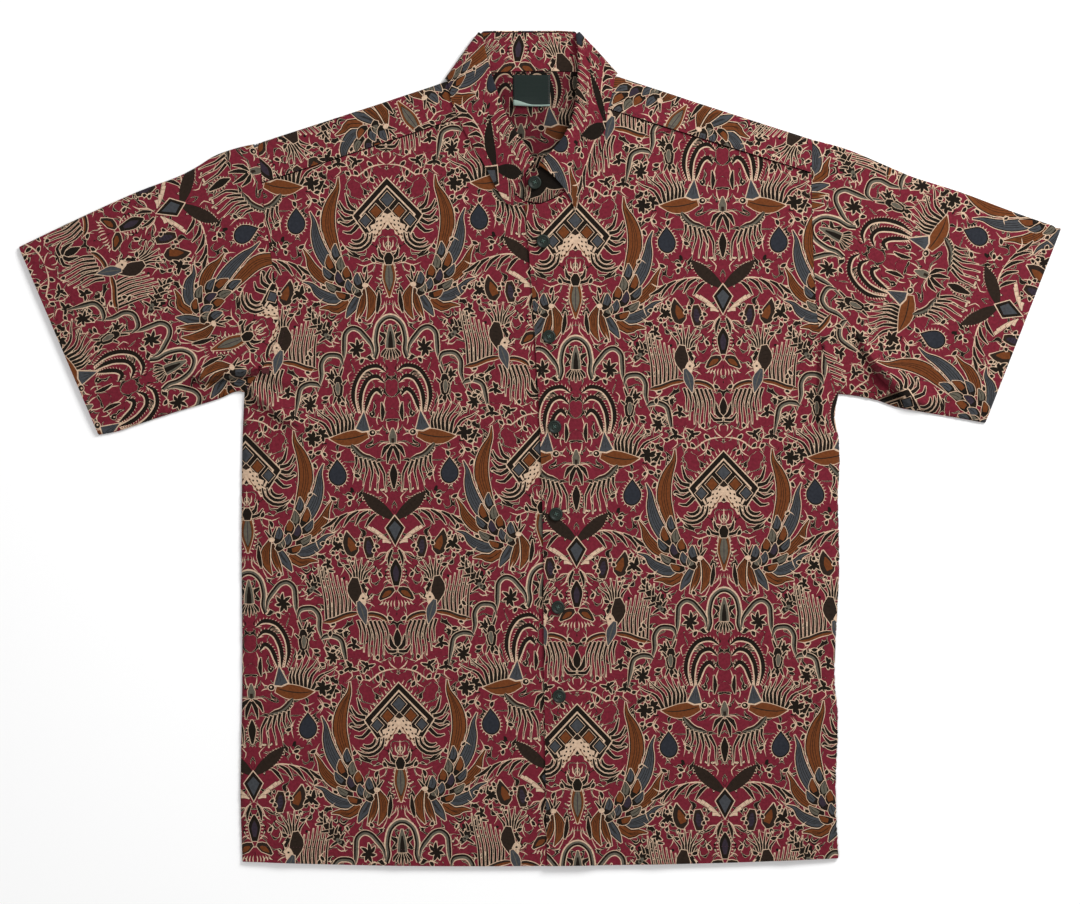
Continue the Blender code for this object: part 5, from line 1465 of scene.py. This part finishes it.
def turned_button(radius, height):
    """Points and faces: r and z of the rim go round the axis, and two pierced discs close it."""
    profile = np.array([
        (0.60, 0), (0.74, 0), (0.9, 0.12), (0.985, 0.3), (1.0, 0.46), (0.985, 0.66), (0.94, 0.86),
        (0.86, 0.98), (0.79, 1.0), (0.72, 0.93), (0.67, 0.76), (0.60, 0.66),
    ]) * (radius, height)
    rim = neighbours(range(ROUND))
    walls = [(k + a, k + b, k + ROUND + b, k + ROUND + a)
             for k in range(0, (len(profile) - 1) * ROUND, ROUND) for a, b in rim]
    corners = [(x * HOLE_PLACE, y * HOLE_PLACE) for x in (-1, 1) for y in (-1, 1)]
    holes = np.vstack([circle(HOLE_ROUND, HOLE) + corner for corner in corners])
    outer = circle(ROUND, profile[0, 0])
    flat = np.vstack([outer, holes])
    pierced = [pair for k in range(4) for pair in neighbours(ROUND + HOLE_ROUND * k + np.arange(HOLE_ROUND))]
    disc = delaunay_2d_cdt([Vector(p) for p in flat.tolist()], rim + pierced, [], 0, 1e-5, False)[2]
    disc = np.array(disc)
    centres = flat[disc].mean(1)
    kept = inside_of(centres, outer)
    for hole in np.split(holes, 4):
        kept &= ~inside_of(centres, hole)
    disc = disc[kept]
    a, b, c = (flat[disc[:, k]] for k in range(3))
    flipped = np.cross(b - a, c - a) < 0
    disc[flipped] = disc[flipped][:, ::-1]
    count = len(profile) * ROUND
    low = np.r_[np.arange(ROUND), count + np.arange(len(holes))]
    high = np.r_[count - ROUND + np.arange(ROUND), count + len(holes) + np.arange(len(holes))]
    faces = walls + low[disc[:, ::-1]].tolist() + high[disc].tolist()
    faces += [(low[a], low[b], high[b], high[a]) for a, b in pierced]
    levels = [(circle(ROUND, r), z) for r, z in profile] + [(holes, profile[0, 1]), (holes, profile[-1, 1])]
    return np.vstack([np.column_stack([plan, np.full(len(plan), z)]) for plan, z in levels]), faces


def bridge(a, b, low, high, half):
    """A strand that rises out of one hole and goes down another: rings round a path that goes half round
    from a to b, as the cosine of its angle, and up by the square root of its sine."""
    run, angle = unit(b - a), np.linspace(0, math.pi, 9)[:, None, None]
    x, y = circle(8, half).T[:, None, :, None]
    plan = a + (b - a) * (1 - np.cos(angle)) / 2 + left_of(run) * x - run * y * np.cos(angle)
    points = np.dstack([plan, low + (high - low) * np.sqrt(np.sin(angle)) + y * 0.7]).reshape(-1, 3)
    sides = neighbours(range(8))
    faces = [(k + a, k + 8 + a, k + 8 + b, k + b) for k in range(0, 64, 8) for a, b in sides]
    return points, faces + [range(8), range(71, 63, -1)]


for number in range(1, 8):
    low, high = np.array(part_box(f"button_{number}")) / MM
    centre, radius, tall = (low[:2] + high[:2]) / 2, (high[0] - low[0]) / 2, high[2] - low[2]
    turn = 0.5 * math.sin(2.3 * number)
    spin = np.array([(math.cos(turn), math.sin(turn)), (-math.sin(turn), math.cos(turn))])
    points, faces = turned_button(radius, tall)
    points = np.column_stack([points[:, :2] @ spin + centre, points[:, 2] + low[2]])
    button = solid(f"button_{number}_resin", points, faces, resin, "button_resin", f"button_{number}")
    button.data.set_sharp_from_angle(angle=math.radians(50))
    for k, corner in enumerate(((HOLE_PLACE, HOLE_PLACE), (HOLE_PLACE, -HOLE_PLACE))):
        a, b = (np.multiply(corner, s) @ spin + centre for s in (-1, 1))
        points, faces = bridge(a, b, low[2] + 0.3 * tall, low[2] + 0.8 * tall + 0.25 * k, 0.34)
        solid(f"button_{number}_thread_{k + 1}", points, faces, button_thread, "button_resin")


# ---- Studio ----
# A matt white table under a soft lamp and a larger, weaker one across from it, and a camera above that
# looks straight down.

floor_mesh = bpy.data.meshes.new("table")
floor_corners = [(x, y, -0.0005) for x, y in ((-4, -4), (4, -4), (4, 4), (-4, 4))]
floor_mesh.from_pydata(floor_corners, [], [(0, 1, 2, 3)])
floor_mesh.materials.append(plain_finish("white_table", Base_Color=(0.93, 0.93, 0.93, 1), Roughness=0.9)[0])
floor = bpy.data.objects.new("table", floor_mesh)
bpy.context.collection.objects.link(floor)

world = bpy.data.worlds.new("studio")
bpy.context.scene.world = world
world.use_nodes = True
world.node_tree.nodes["Background"].inputs["Color"].default_value = (1, 1, 1, 1)
world.node_tree.nodes["Background"].inputs["Strength"].default_value = 0.5
for name, at, power, extent in (("softbox", (1.1, 1.3, 1.25), 46, 0.8), ("fill", (-0.9, -0.7, 2.2), 12, 1.4)):
    light = bpy.data.lights.new(name, "AREA")
    light.energy = power
    light.size = extent
    lamp = bpy.data.objects.new(name, light)
    lamp.location = at
    lamp.rotation_euler = Vector(at).to_track_quat("Z", "Y").to_euler()
    bpy.context.collection.objects.link(lamp)

camera = bpy.data.cameras.new("camera")
camera.lens, camera.sensor_width = 94.5, 36
viewpoint = bpy.data.objects.new("camera", camera)
viewpoint.location = (-0.0005, -0.0037, 2.6)
bpy.context.collection.objects.link(viewpoint)
bpy.context.scene.camera = viewpoint
bpy.context.scene.view_settings.view_transform = "Standard"
